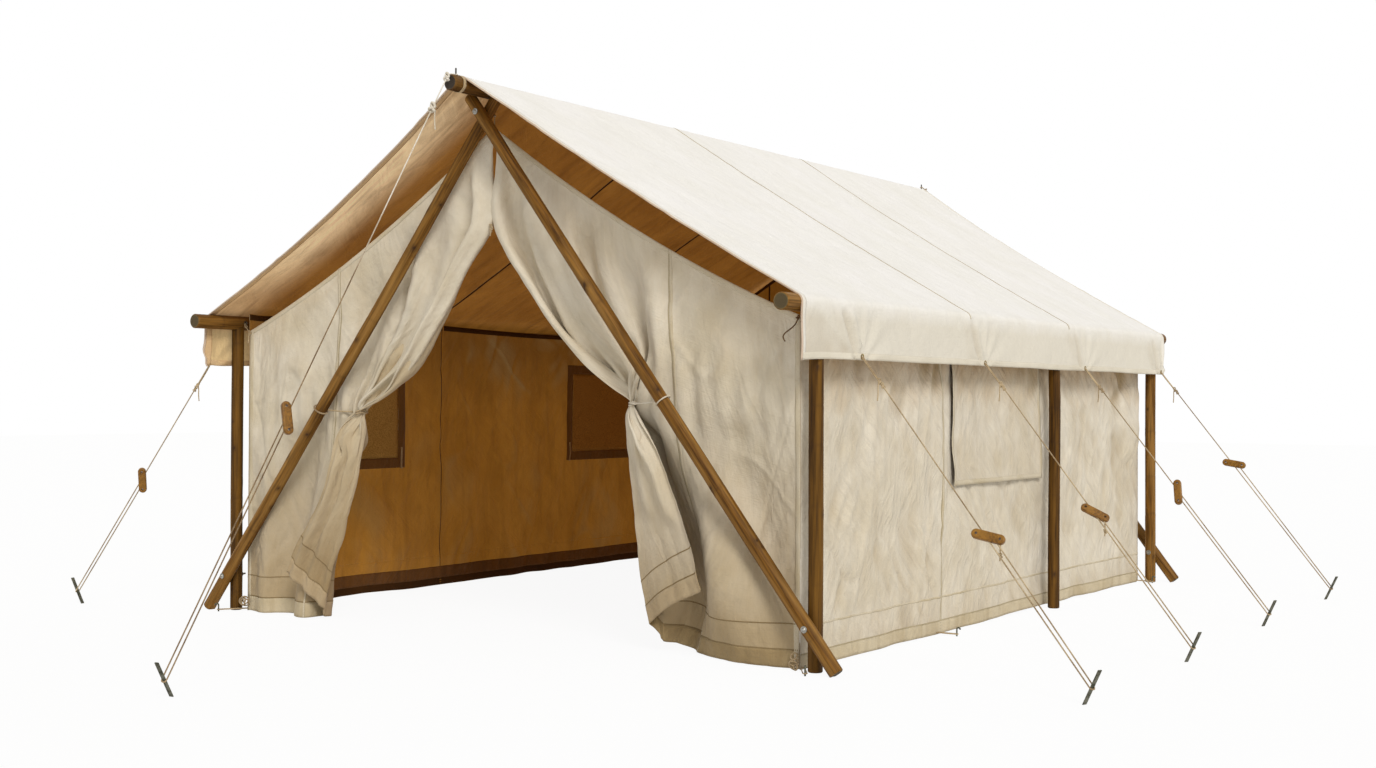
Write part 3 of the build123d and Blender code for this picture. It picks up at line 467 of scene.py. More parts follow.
def endGrainMaterial(name, pale, dark):
    # sawn end of a pole: growth rings 4 mm apart, greyed, with a paler sapwood rim
    material, tree, surface = newMaterial(name, {"Roughness": 0.8})
    grain = addNode(tree, "Attribute", attribute_name="grain")["Vector"]
    parts = addNode(tree, "SeparateXYZ", {0: grain})
    flat = addNode(tree, "CombineXYZ", {0: parts[0], 1: parts[1]})[0]
    radius = addNode(tree, "VectorMath", {0: flat}, operation="LENGTH")["Value"]
    wobble = addNode(tree, "TexNoise", {"Vector": flat, "Scale": 60.0, "Detail": 3.0})[0]
    bent = addNode(tree, "Math", {0: wobble, 1: 0.006, 2: radius}, operation="MULTIPLY_ADD")[0]
    ring = addNode(tree, "Math", {0: bent, 1: 1570.0}, operation="MULTIPLY")[0]
    ring = addNode(tree, "Math", {0: ring}, operation="SINE")[0]
    ringAt = addNode(tree, "MapRange", {0: ring, 1: -1.0, 2: 1.0, 3: 0.0, 4: 0.6})[0]
    colour = addNode(tree, "Mix", {0: ringAt, 6: linear(dark), 7: linear(pale)}, data_type="RGBA")[2]
    rim = addNode(tree, "MapRange", {0: radius, 1: 0.029, 2: 0.034, 3: 0.0, 4: 0.8})[0]
    colour = addNode(tree, "Mix", {0: rim, 6: colour, 7: linear(pale)}, data_type="RGBA")[2]
    tree.links.new(colour, surface.inputs["Base Color"])
    return material


poleWood = woodMaterial("oiledPoleWood", "#ac8143", "#7c5319", "#43290a")
uprightWood = woodMaterial("shadedPoleWood", "#835b1e", "#573809", "#2c1a05")
darkPoleWood = woodMaterial("smokedPoleWood", "#87612c", "#5c3b14", "#331f0a")
endGrain = endGrainMaterial("sawnEndGrain", "#6f5f3a", "#37290f")
darkEndGrain = endGrainMaterial("sootyEndGrain", "#4a3a26", "#1d1610")


def sliderMaterial():
    # turned hardwood, varnished: golden, with fine grain and broad paler clouds
    material, tree, surface = newMaterial("varnishedHardwood", {"Roughness": 0.45, "Coat Weight": 0.04,
                                                                "Specular IOR Level": 0.3})
    place = addNode(tree, "TexCoord")["Object"]
    lines = addNode(tree, "TexNoise", {"Vector": place, "Scale": 90.0, "Detail": 4.0, "Distortion": 0.6})[0]
    wide = addNode(tree, "TexNoise", {"Vector": place, "Scale": 14.0, "Detail": 2.0})[0]
    tone = addNode(tree, "MapRange", {0: lines, 1: 0.35, 2: 0.65})[0]
    colour = addNode(tree, "Mix", {0: tone, 6: linear("#5e3d0c"), 7: linear("#8a5d1a")}, data_type="RGBA")[2]
    wideAt = addNode(tree, "MapRange", {0: wide, 1: 0.4, 2: 0.7, 3: 0.0, 4: 0.6})[0]
    colour = addNode(tree, "Mix", {0: wideAt, 6: colour, 7: linear("#a67728")}, data_type="RGBA")[2]
    tree.links.new(colour, surface.inputs["Base Color"])
    bump = addNode(tree, "Bump", {"Height": lines, "Strength": 0.3, "Distance": 0.0006})[0]
    tree.links.new(bump, surface.inputs["Normal"])
    return material


def ropeMaterial(name, pale, shade, shadedBelow=None):
    # laid cotton rope: matt, in soft pale and grey-brown patches; given two heights, it is painted darker below
    # them, as shade
    material, tree, surface = newMaterial(name, {"Roughness": 0.95, "Sheen Weight": 0.2})
    place = addNode(tree, "TexCoord")["Object"]
    fuzz = addNode(tree, "TexNoise", {"Vector": place, "Scale": 260.0, "Detail": 3.0})[0]
    worn = addNode(tree, "TexNoise", {"Vector": place, "Scale": 7.0, "Detail": 3.0})[0]
    both = addNode(tree, "Math", {0: fuzz, 1: worn}, operation="ADD")[0]
    tone = addNode(tree, "MapRange", {0: both, 1: 0.75, 2: 1.2})[0]
    colour = addNode(tree, "Mix", {0: tone, 6: linear(pale), 7: linear(shade)}, data_type="RGBA")[2]
    # painted shade: the rope darkens between the two heights and below them
    if shadedBelow:
        parts = addNode(tree, "SeparateXYZ", {0: place})["Z"]
        low = addNode(tree, "MapRange", {0: parts, 1: shadedBelow[0], 2: shadedBelow[1]})[0]
        paintedShade = addNode(tree, "Mix", {0: tone, 6: linear("#a98f6a"), 7: linear("#5f472a")},
                        data_type="RGBA")[2]
        colour = addNode(tree, "Mix", {0: low, 6: colour, 7: paintedShade}, data_type="RGBA")[2]
    tree.links.new(colour, surface.inputs["Base Color"])
    bump = addNode(tree, "Bump", {"Height": fuzz, "Strength": 0.5, "Distance": 0.0008})[0]
    tree.links.new(bump, surface.inputs["Normal"])
    return material


def metalMaterial(name, clean, dull, roughness, wear, scale=60.0):
    # metal with a dull weathered film and cleaner rubbed patches
    material, tree, surface = newMaterial(name, {"Metallic": 0.9, "Roughness": roughness})
    place = addNode(tree, "TexCoord")["Object"]
    film = addNode(tree, "TexNoise", {"Vector": place, "Scale": scale, "Detail": 5.0, "Roughness": 0.65})[0]
    filmAt = addNode(tree, "MapRange", {0: film, 1: 0.4, 2: 0.62, 3: 1 - wear, 4: 1.0})[0]
    colour = addNode(tree, "Mix", {0: filmAt, 6: linear(clean), 7: linear(dull)}, data_type="RGBA")[2]
    tree.links.new(colour, surface.inputs["Base Color"])
    rough = addNode(tree, "MapRange", {0: film, 1: 0.35, 2: 0.7, 3: roughness - 0.1, 4: roughness + 0.2})[0]
    tree.links.new(rough, surface.inputs["Roughness"])
    return material


def stitchedMaterial(name, base, thread, shadow):
    # a strip of canvas sewn down: rows of stitches, with blotches of painted shade where the cloth is pinched
    material, tree, surface = newMaterial(name, {"Roughness": 0.92, "Specular IOR Level": 0.2})
    place = addNode(tree, "TexCoord")["Object"]
    blot = addNode(tree, "TexNoise", {"Vector": place, "Scale": 6.0, "Detail": 5.0})[0]
    blotAt = addNode(tree, "MapRange", {0: blot, 1: 0.35, 2: 0.7, 3: 0.0, 4: 0.65})[0]
    colour = addNode(tree, "Mix", {0: blotAt, 6: linear(base), 7: linear(shadow)}, data_type="RGBA")[2]
    # stitches are 3 mm long; they are drawn 8 mm apart so that they show
    dash = addNode(tree, "TexVoronoi", {"Vector": place, "Scale": 125.0})["Distance"]
    dashAt = addNode(tree, "MapRange", {0: dash, 1: 0.12, 2: 0.3, 3: 0.45, 4: 0.0})[0]
    colour = addNode(tree, "Mix", {0: dashAt, 6: colour, 7: linear(thread)}, data_type="RGBA")[2]
    tree.links.new(colour, surface.inputs["Base Color"])
    pucker = addNode(tree, "TexNoise", {"Vector": place, "Scale": 55.0, "Detail": 3.0})[0]
    bump = addNode(tree, "Bump", {"Height": pucker, "Strength": 0.5, "Distance": 0.002})[0]
    tree.links.new(bump, surface.inputs["Normal"])
    return material


def screenMaterial():
    # woven mosquito net: 1.2 mm holes, too fine to show, so it reads as a dim even veil; its dim amber is the
    # lit-through inside seen through it, painted onto the net: painted light and shade
    material, tree, surface = newMaterial("wovenMosquitoNet", {"Roughness": 0.85})
    place = addNode(tree, "TexCoord")["Object"]
    weave = addNode(tree, "TexNoise", {"Vector": place, "Scale": 180.0, "Detail": 2.0})[0]
    tone = addNode(tree, "MapRange", {0: weave, 1: 0.35, 2: 0.65})[0]
    colour = addNode(tree, "Mix", {0: tone, 6: linear("#9a7632"), 7: linear("#c8a054")}, data_type="RGBA")[2]
    tree.links.new(colour, surface.inputs["Base Color"])
    return material


stitchedRoof = stitchedMaterial("stitchedRoofHem", "#ece7dd", "#c9bca3", "#e0d9ca")
stitchedValance = stitchedMaterial("stitchedValanceHem", "#dfd7c6", "#c4b99f", "#d3cab6")
stitchedWall = stitchedMaterial("stitchedWallHem", "#cfc4ae", "#9c8358", "#b9a883")
seamShadow = stitchedMaterial("seamFold", "#b3a588", "#8a7758", "#9a8a6b")
seamLine = stitchedMaterial("seamLineInShade", "#8f7b59", "#6f5b3c", "#7d6947")
# seams seen from inside are dark where the doubled cloth lets less daylight through: painted shade
insideSeam = stitchedMaterial("seamSeenFromInside", "#523209", "#3a2206", "#432806")
# hems seen from under the overhang are a warm tan: painted light coming through the cloth
overhangHem = stitchedMaterial("hemUnderOverhang", "#d9bb92", "#a98455", "#c39d6c")
# doubled hems seen from inside are dark where two layers let less daylight through: painted shade
hemInsideShaded = stitchedMaterial("hemInsideInPaintedShade", "#4c2e0c", "#311d07", "#3a2308")
screenMesh = screenMaterial()
sliderWood = sliderMaterial()
cottonRope = ropeMaterial("laidCottonRope", "#c9b48f", "#846b4a")
whiteRope = ropeMaterial("bleachedCottonCord", "#ece6da", "#c0b196")
# the front guy rope darkens from 2.05 m down to 1.70 m: painted shade
ridgeRope = ropeMaterial("ridgeRopeShadedBelow", "#ece6da", "#c0b196", shadedBelow=(2.05, 1.70))
# a dark brown copy of the cord: painted shade
brownCord = ropeMaterial("cordInPaintedShade", "#8a6a42", "#5c4228")
webbing = ropeMaterial("cottonWebbing", "#c9b48f", "#a38a60")
boltSteel = metalMaterial("galvanisedSteel", "#b9b7b0", "#807c72", 0.42, 0.7)
hookSteel = metalMaterial("blackenedSteel", "#6a655c", "#3c3832", 0.5, 0.8)
stakeSteel = metalMaterial("weatheredStakeSteel", "#7b7969", "#4a4a3c", 0.6, 0.85, 45.0)
brass = metalMaterial("tarnishedBrass", "#b49a5e", "#7d6a3e", 0.4, 0.7)
print("materials")

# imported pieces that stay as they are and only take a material
dressed = {"leg_bolts": boltSteel, "ridge_spikes": hookSteel, "eave_pins": boltSteel, "eave_hooks": hookSteel,
           "stakes": stakeSteel, "wall_pegs": stakeSteel, "valance_grommets": brass}
for node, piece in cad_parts.items():
    material = sliderWood if node.startswith("slider_") else dressed.get(node)
    if material:
        piece.data.materials.clear()
        piece.data.materials.append(material)

# every guy rope runs through its slider, round its stake and back up to the slider
rope = {"radius": 0.003, "lay": 0.022, "loopHeight": 0.070, "loopSide": 0.0133, "loopPast": 0.009, "corner": 0.0266,
        "mainBore": -0.011, "returnBore": 0.023, "strandStep": 0.0035, "travel": 0.25, "spikeRing": 0.0073}
grommetZ = valanceBottom + 0.015
sideStart = valanceOut + 0.0025
overFrontZ = ridgeZ + poleRadius + 0.0033
overRearZ = roofHigh.z + 0.0033
# start, the point round the stake, the slider's share of the run, its tilt and its turn in degrees
guys = {
    "right_1": ((sideStart, frontY + 0.340, grommetZ), (3.078, frontY - 0.075), 0.576, 40, 130),
    "right_2": ((sideStart, frontY + 1.675, grommetZ), (3.075, frontY + 1.200), 0.554, 30, 150),
    "right_3": ((sideStart, frontY + 3.098, grommetZ), (3.036, frontY + 2.620), 0.524, 30, 305),
    "right_4": ((sideStart, frontY + 4.470, grommetZ), (3.021, frontY + 4.045), 0.444, 40, 115),
    "left_1": ((-sideStart, frontY - 0.150, grommetZ), (-2.770, frontY - 0.327), 0.496, 30, 305),
    "left_2": ((-sideStart, frontY + 1.385, grommetZ), (-2.780, frontY + 1.240), 0.530, 35, 60),
    "left_3": ((-sideStart, frontY + 2.950, grommetZ), (-2.785, frontY + 2.810), 0.510, 35, 240),
    "left_4": ((-sideStart, frontY + 4.470, grommetZ), (-2.780, frontY + 4.360), 0.470, 40, 60),
    "front": ((0, ridgeLow.y - 0.007, overFrontZ), (0.067, frontY - 1.996), 0.612, 30, 240),
    "rear": ((0, ridgeHigh.y + 0.007, overRearZ), (-0.060, rearY + 2.090), 0.580, 35, 120),
}
spikes = {"front": ridgeLow.y + 0.042, "rear": ridgeHigh.y - 0.042}


def routeLine(points):
    # the smooth line of one spline with these control points
    curve = bpy.data.curves.new("route", "CURVE")
    curve.dimensions = "3D"
    curve.resolution_u = 24
    spline = curve.splines.new("NURBS")
    spline.points.add(len(points) - 1)
    for made, point in zip(spline.points, points):
        made.co = (*point, 1)
    spline.order_u = 3
    spline.use_endpoint_u = True
    holder = bpy.data.objects.new("route", curve)
    bpy.context.scene.collection.objects.link(holder)
    mesh = bpy.data.meshes.new_from_object(holder)
    line = np.array([v.co for v in mesh.vertices], float)
    bpy.data.meshes.remove(mesh)
    bpy.data.objects.remove(holder)
    bpy.data.curves.remove(curve)
    return line


def evenly(line, gap):
    run = runOf(line)
    stops = np.linspace(0, run[-1], max(3, int(run[-1] / gap) + 1))
    return np.stack([np.interp(stops, run, line[:, k]) for k in range(3)], -1), run[-1]


def cordAlong(name, points, radius, material, body="frame"):
    # a short length of cord through a few points
    line, length = evenly(routeLine(points), 0.003)
    piece = laidRope(name, line, radius, material, radius * 7, sides=9, body=body)
    return piece


def knotOn(name, at, along, radius, material, turns=1.5, wire=0.003, body="frame"):
    # an overhand knot drawn tight: a fat little coil whose ends go back into the rope
    at, along = Vector(at), Vector(along).normalized()
    side = along.cross(Vector((0.31, 0.2, 0.93))).normalized()
    up = along.cross(side)
    points = []
    for i in range(int(26 * turns)):
        angle = math.tau * i / 22
        reach = radius * (0.72 + 0.28 * math.sin(angle * 1.5))
        shift = radius * 1.1 * math.sin(angle * 0.75 + 0.4)
        points.append(at + side * (reach * math.cos(angle)) + up * (reach * math.sin(angle)) + along * shift)
    return laidRope(name, points, wire, material, 0.02, sides=9, body=body)


for name, (start, stake, share, tilt, turnBy) in guys.items():
    start, loop = Vector(start), Vector((*stake, rope["loopHeight"]))
    along = (loop - start).normalized()
    sideways = along.cross(plumb).normalized()
    turnBy, tilt = math.radians(turnBy), math.radians(tilt)
    across = sideways * math.cos(turnBy) + sideways.cross(along) * math.sin(turnBy)
    hand = math.copysign(1, across.dot(sideways))
    nearCorner = loop - sideways * hand * rope["loopSide"] + along * rope["loopPast"]
    farCorner = loop + sideways * hand * rope["loopSide"] + along * rope["loopPast"]
    run = nearCorner - start
    direction = run.normalized()
    leanTo = (across - direction * across.dot(direction)).normalized()
    sliderAxis = direction * math.cos(tilt) + leanTo * math.sin(tilt)
    sliderMiddle = start + run * share - sliderAxis * rope["mainBore"]
    returnAt = sliderMiddle + sliderAxis * rope["returnBore"]
    back = (returnAt - farCorner).normalized()
    turnAt = farCorner + back * rope["corner"]
    points = [start, nearCorner - direction * rope["corner"], nearCorner, farCorner, turnAt, returnAt]
    if name in spikes:
        toward = math.copysign(1, start.y)
        onRing = Vector((0, spikes[name] + toward * rope["spikeRing"], start.z))
        points = [onRing, start, start + direction * 0.036, *points[1:]]
    line = routeLine(points)
    # the rope goes round the stake at its far corner, where the strand back to the slider begins
    turnPoint = int(np.argmin(np.linalg.norm(line - np.array(turnAt), axis=1)))
    strands = []
    material = ridgeRope if name == "front" else cottonRope
    for part, points in (("down", line[:turnPoint + 1]), ("back", line[turnPoint:])):
        route, length = evenly(points, rope["strandStep"])
        strand = laidRope(f"guyRope_{name}_{part}", route, rope["radius"], material, rope["lay"], sides=9,
                          nodes=[f"guy_rope_{name}"])
        strands.append((strand, route, length, rope["radius"]))
    for strand in strands:
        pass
    # the strand back to the slider, which on the tent shortens as the slider comes down, gets a mesh of its own
    strand, route, *_ = strands[1]
    reach = (Vector(route[-1]) - Vector(route[0])).length
    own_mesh(strand)
print("guy ropes")

# the roof is one sheet from a valance hem over eave, ridge and eave to the other valance hem
roof = {"bend": poleRadius + 0.0003 + sewn["thick"], "sag": 0.020,
        "frontRidge": roofLow.y, "frontEave": valanceLow.y,
        "rearRidge": roofHigh.y, "rearEave": valanceHigh.y, "edgeSag": 0.040, "hem": 0.042, "seam": 0.016,
        "seams": (frontY + 1.567, frontY + 2.997), "ripple": 0.0022, "pitch": 0.016}
roofDeep = roof["rearRidge"] - roof["frontRidge"]
slopeLength = math.hypot(halfSpan, ridgeZ - eaveZ)
ridgeArc = roof["bend"] * pitch
eaveAt = ridgeArc + slopeLength
hangAt = eaveAt + roof["bend"] * (math.pi / 2 - pitch)
hemAt = hangAt + eaveZ - valanceBottom
pulls = [(math.copysign(1, start[0]), start[1]) for start, *_ in guys.values() if start[0]]


def roofPlace(y, s):
    # y runs from door to rear along the ridge; s is the way over the cloth from the ridge, left of it negative
    side = np.where(s < 0, -1.0, 1.0)
    way = np.abs(s)
    share = np.clip((way - ridgeArc) / slopeLength, 0, 1)
    down = np.clip((way - hangAt) / (hemAt - hangAt), 0, 1.02)
    flat = math.pi / 2 - pitch
    angle = np.where(way < ridgeArc, math.pi / 2 - way / roof["bend"],
                     np.where(way < eaveAt, flat, flat - (way - eaveAt) / roof["bend"]))
    angle = np.clip(angle, 0, math.pi / 2)
    x = halfSpan * share + roof["bend"] * np.cos(angle)
    z = ridgeZ - (ridgeZ - eaveZ) * share + roof["bend"] * np.sin(angle) - valanceDrop * down
    bow = 4 * share * (1 - share)
    front = roof["frontRidge"] + (roof["frontEave"] - roof["frontRidge"]) * share + roof["edgeSag"] * bow
    rear = roof["rearRidge"] + (roof["rearEave"] - roof["rearRidge"]) * share - roof["edgeSag"] * bow
    yAt = front + (rear - front) * (y - roof["frontRidge"]) / roofDeep
    # the slope hangs a little between ridge and eave, more beyond the end walls
    beyond = smooth(frontY - yAt, -0.1, 0.25) + smooth(yAt - rearY, -0.1, 0.4)
    off = -bow * (roof["sag"] + 0.010 * beyond)
    drawn = noise(yAt * 7.0, way * 0.55 + 5 * side, 21) + 0.5 * noise(yAt * 16.0, way * 0.8 + 9 * side, 22)
    off = off + roof["ripple"] * drawn * smooth(bow, 0, 0.5) + 0.36 * wrinkles(yAt, s, 30) * smooth(bow, 0, 0.3)
    off = off + 0.0012 * noise(yAt * 5, s * 9, 23) * smooth(way, eaveAt - 0.1, eaveAt + 0.02)
    # the valance swings out between its ropes and creases toward them
    flare = 0.007 * noise(yAt * 3.1 + 3 * side, down * 0.6, 24) + 0.004 * noise(yAt * 9.0, down * 1.5 + side, 25)
    flare = down * flare
    hold = np.ones_like(x)
    for pullSide, pullY in pulls:
        aside, above = yAt - pullY, (1 - down) * valanceDrop
        near = np.hypot(aside, above - 0.015)
        ray = np.arctan2(aside, above + 0.02)
        mine = side == pullSide
        fold = np.cos(11 * ray + 1.3 * pullY) * np.exp(-near / 0.24)
        fold = fold * smooth(near, 0.01, 0.06) * smooth(down, -0.05, 0.15)
        slant = aside + 0.55 * above
        pleat = (np.exp(-(slant / 0.022) ** 2) - 0.7 * np.exp(-((slant + 0.045) / 0.024) ** 2)
                 + 0.5 * np.exp(-((slant + 0.10) / 0.03) ** 2))
        pleat = pleat * smooth(down, 0.0, 0.2) * smooth(near, 0.01, 0.05) * (1.6 if pullY < frontY + 0.5 else 0.8)
        flare = flare + np.where(mine, 0.0080 * fold + 0.0105 * pleat, 0)
        hold = np.where(mine, hold * (1 - np.exp(-(near / 0.035) ** 2)), hold)
    corner = smooth(down, 0, 0.3) * np.exp(-((yAt - roof["frontEave"] - 0.03) / 0.018) ** 2)
    off = off + (flare - 0.006 * corner) * hold
    droop = 0.0035 * noise(yAt * 2.3 + 7 * side, 0.5, 27) - 0.012 * np.exp(-np.abs(yAt - roof["frontEave"]) / 0.12)
    x = x + off * np.cos(angle)
    z = z + off * np.sin(angle) + droop * down * hold
    return np.stack([side * x, yAt, z], -1)


def valanceShade(y, s):
    # painted shade on the valance: its front corner as far as the first rope, and the pleats toward the others, are
    # darkened
    yAt = roof["frontEave"] + (roof["rearEave"] - roof["frontEave"]) * (y - roof["frontRidge"]) / roofDeep
    down = np.clip((np.abs(s) - hangAt) / (hemAt - hangAt), 0, 1)
    amount = np.zeros_like(y)
    for pullSide, pullY in pulls:
        mine = (np.sign(s) == pullSide) * smooth(down, 0.0, 0.18)
        slant = yAt - pullY + 0.55 * (1 - down) * valanceDrop
        pleats = np.exp(-((slant + 0.05) / 0.03) ** 2) * 0.22 + np.exp(-((slant + 0.13) / 0.05) ** 2) * 0.10
        amount = np.maximum(amount, mine * pleats)
        if pullY < frontY + 0.5:
            border = roof["frontEave"] + 0.13 + (pullY - roof["frontEave"] - 0.15) * down
            patch = smooth(border - yAt, -0.005, 0.05) * (0.11 + 0.22 * down)
            amount = np.maximum(amount, mine * patch * (0.8 + 0.3 * noise(yAt * 14, down * 4, 26)))
    return amount


roofYs = steps(roof["frontRidge"], roof["frontRidge"] + roof["hem"],
               roof["rearRidge"] - roof["hem"], roof["rearRidge"], pitchOf=roof["pitch"])
halfWay = steps(0, ridgeArc, eaveAt, hangAt, hemAt, pitchOf=roof["pitch"])
halfWay = np.unique(np.concatenate([halfWay, np.linspace(eaveAt, hangAt, 9), np.linspace(0, ridgeArc, 4)]))
roofWays = np.concatenate([-halfWay[:0:-1], halfWay])
canopy = clothSheet("roofCanopy", roofYs, roofWays, roofPlace, [roofCanvas, insideRoof], flip=True)
own(canopy, "roof_canvas", "roof_left", "roof_right", "valance_left", "valance_right")
stainAndShadeOn(canopy, roofYs, roofWays, valanceShade)
# each strip: where it lies along the tent and over the cloth, its two faces, how far it stands out, how thick it is
ofHem, fold = (sewn["lift"], sewn["over"]), (0.0016, 0.0046)
roofStrips = {
    "roofFrontHem": (steps(roof["frontRidge"] + 0.008, roof["frontRidge"] + roof["hem"], pitchOf=0.01), roofWays,
                     stitchedRoof, overhangHem, ofHem),
    "roofFrontBinding": (np.linspace(roof["frontRidge"] - 0.001, roof["frontRidge"] + 0.009, 4), roofWays,
                         pipingCanvas, pipingCanvas, (0.0022, 0.006)),
    "roofRearHem": (steps(roof["rearRidge"] - roof["hem"], roof["rearRidge"] - 0.0007, pitchOf=0.01), roofWays,
                    stitchedRoof, insideSeam, ofHem),
}
slope = roofWays[np.abs(roofWays) < hangAt + 0.001]
for number, seamY in enumerate(roof["seams"], 1):
    roofStrips[f"roofSeam_{number}"] = (np.linspace(seamY, seamY + roof["seam"], 3), slope,
                                        stitchedRoof, insideSeam, ofHem)
    roofStrips[f"roofSeamEdge_{number}"] = (np.linspace(seamY - 0.0045, seamY + 0.0005, 3), slope,
                                            seamShadow, insideSeam, fold)
for side, hand in handOf.items():
    ways = np.sort(side * np.linspace(hemAt - 0.030, hemAt - 0.0005, 4))
    roofStrips[f"valanceHem_{hand}"] = (roofYs, ways, stitchedValance, overhangHem, ofHem)
roofHems = [own(clothSheet(name, ys, ways, roofPlace, [outer, inner], True, *size), "roof_canvas")
            for name, (ys, ways, outer, inner, size) in roofStrips.items()]
print("roof")

wall = {"hem": 0.062, "band": 0.178, "bandWidth": 0.009, "seamWidth": 0.014, "pitch": 0.0125,
        "top": wallTop - 0.003, "scallop": 0.020, "drop": 0.040, "seed": {1: 60, -1: 80},
        "seams": {1: (frontY + 1.405, frontY + 2.93), -1: (frontY + 0.20, frontY + 1.56, frontY + 3.76)},
        "pegs": (frontY, frontY + 1.36, rearY - 0.060, rearY)}
windowBand, windowSill, windowHead, flapMargin = 0.060, 0.805, 1.340, 0.072
windows = {
    "right": (1, frontY + 1.572, frontY + 2.598),
    "left_front": (-1, frontY + 0.512, frontY + 1.176),
    "left_rear": (-1, frontY + 2.895, frontY + 3.559),
}


def windowsOn(side):
    return [(y0, y1) for windowSide, y0, y1 in windows.values() if windowSide == side]


def wallOff(side, y, z):
    # how far a side wall stands out from its plane, outward positive
    seed = wall["seed"][side]
    hang = 0.008 * noise(y * 1.4, z * 1.1, seed) + 0.005 * noise(y * 4.4, z * 0.9, seed + 1)
    off = (hang + 2.1 * wrinkles(y, z, seed + 4)) * smooth(z, -0.02, 0.25) * smooth(1.66 - z, 0, 0.3)
    for seamY in wall["seams"][side]:
        off = off - 0.004 * np.exp(-((y - seamY) / 0.03) ** 2) * smooth(z, 0.1, 0.4)
    off = off + smooth(0.22 - z, 0, 0.22) * (0.006 * noise(y * 5.2, z * 2, seed + 8) + 0.004)
    off = off * smooth(y - gableFront, 0, 0.06) * smooth(gableRear - y, 0, 0.06)
    for y0, y1 in windowsOn(side):
        away = np.maximum(np.maximum(y0 - y, y - y1), np.maximum(windowSill - z, z - windowHead))
        off = off * (0.25 + 0.75 * smooth(away, 0.02, 0.20))
    return off


def between(ties, y):
    # 0 at each tie and 1 halfway to the next, with the way between them
    for a, b in zip(ties, ties[1:]):
        yield np.sin(math.pi * np.clip((y - a) / (b - a), 0, 1)), b - a


def wallHemZ(side, y):
    # the lower edge lifts between its pegs
    lift = np.zeros_like(y)
    for arch, _ in between(wall["pegs"], y):
        lift = np.maximum(lift, 0.008 * arch * (1 + 0.6 * noise(y * 6, side, 91)))
    return np.clip(lift, 0.0005, 0.02)


def wallPlace(side):
    # the top hangs in shallow scallops between its ties
    ties = sorted([gableFront, *wall["seams"][side], gableRear])

    def place(y, z):
        sag = np.zeros_like(y)
        for arch, width in between(ties, y):
            sag = np.maximum(sag, arch * wall["scallop"] * min(1.0, width))
        z = z - (wall["drop"] + sag) * smooth(z, 1.42, wallTop)
        z = np.where(z < 0.3, wallHemZ(side, y) + z * (0.3 - wallHemZ(side, y)) / 0.3, z)
        return np.stack([side * (wallOut + wallOff(side, y, z)), y, z], -1)
    return place


def openings(holes):
    def gap(y, z):
        cut = np.zeros(y.shape, bool)
        for y0, y1 in holes:
            cut |= (y > y0) & (y < y1) & (z > windowSill) & (z < windowHead)
        return cut
    return gap


def soiledAndShaded(seed, even, low, under):
    # darker in the hollows, more of it up under the eave: partly dirt, partly painted shade
    return lambda y, z: even(z) + hollows(y, z, seed) * (low + under * smooth(z, 1.02, 1.34))


edge, backed = sewn["edge"], [seamShadow, insideSeam]
for side, hand in handOf.items():
    holes = windowsOn(side)
    ys = steps(gableFront, *(y for hole in holes for y in hole), gableRear, pitchOf=wall["pitch"])
    zs = steps(0, windowSill, windowHead, wall["top"], pitchOf=wall["pitch"])
    place, flip = wallPlace(side), side < 0
    panel = clothSheet(f"sideWall_{hand}", ys, zs, place, [wallCanvas, insideWall], flip, gap=openings(holes))
    own(panel, "wall_canvas", f"wall_{hand}")
    # the side walls darken in their hollows and under the eave: partly dirt, partly painted shade
    stainAndShadeOn(panel, ys, zs, soiledAndShaded(wall["seed"][side] + 4, lambda z: 0.03 * smooth(z, 1.02, 1.34), 0.30, 0.40))
    skirt = clothSheet(f"wallSkirt_{hand}", ys, np.linspace(0.045, 0.118, 6), place, [skirtCanvas], flip,
                       -0.0018, 0.0012)
    strips = [own(skirt, "wall_canvas")]
    for label, low, high, count, cloths in (
            ("wallHem", 0.0015, wall["hem"], 5, [creamBand, hemInsideShaded]),
            ("wallHemEdge", wall["hem"], wall["hem"] + edge, 3, backed),
            ("wallHemSeam", wall["band"], wall["band"] + wall["bandWidth"], 3, [stitchedWall, insideWall]),
            ("wallTopHem", wallTop - 0.034, wallTop - 0.006, 3, [stitchedWall, hemInsideShaded]),
            ("wallTopEdge", wallTop - 0.040, wallTop - 0.034, 3, backed)):
        strips.append(bothFaces(f"{label}_{hand}", ys, np.linspace(low, high, count), place, cloths, flip))
    for number, seamY in enumerate(wall["seams"][side], 1):
        for label, low, high, cloths in (
                ("wallSeam", seamY, seamY + wall["seamWidth"], [stitchedWall, insideCanvas]),
                ("wallSeamEdge", seamY - edge, seamY, backed)):
            strips.append(bothFaces(f"{label}_{hand}_{number}", np.linspace(low, high, 3), zs, place, cloths, flip))

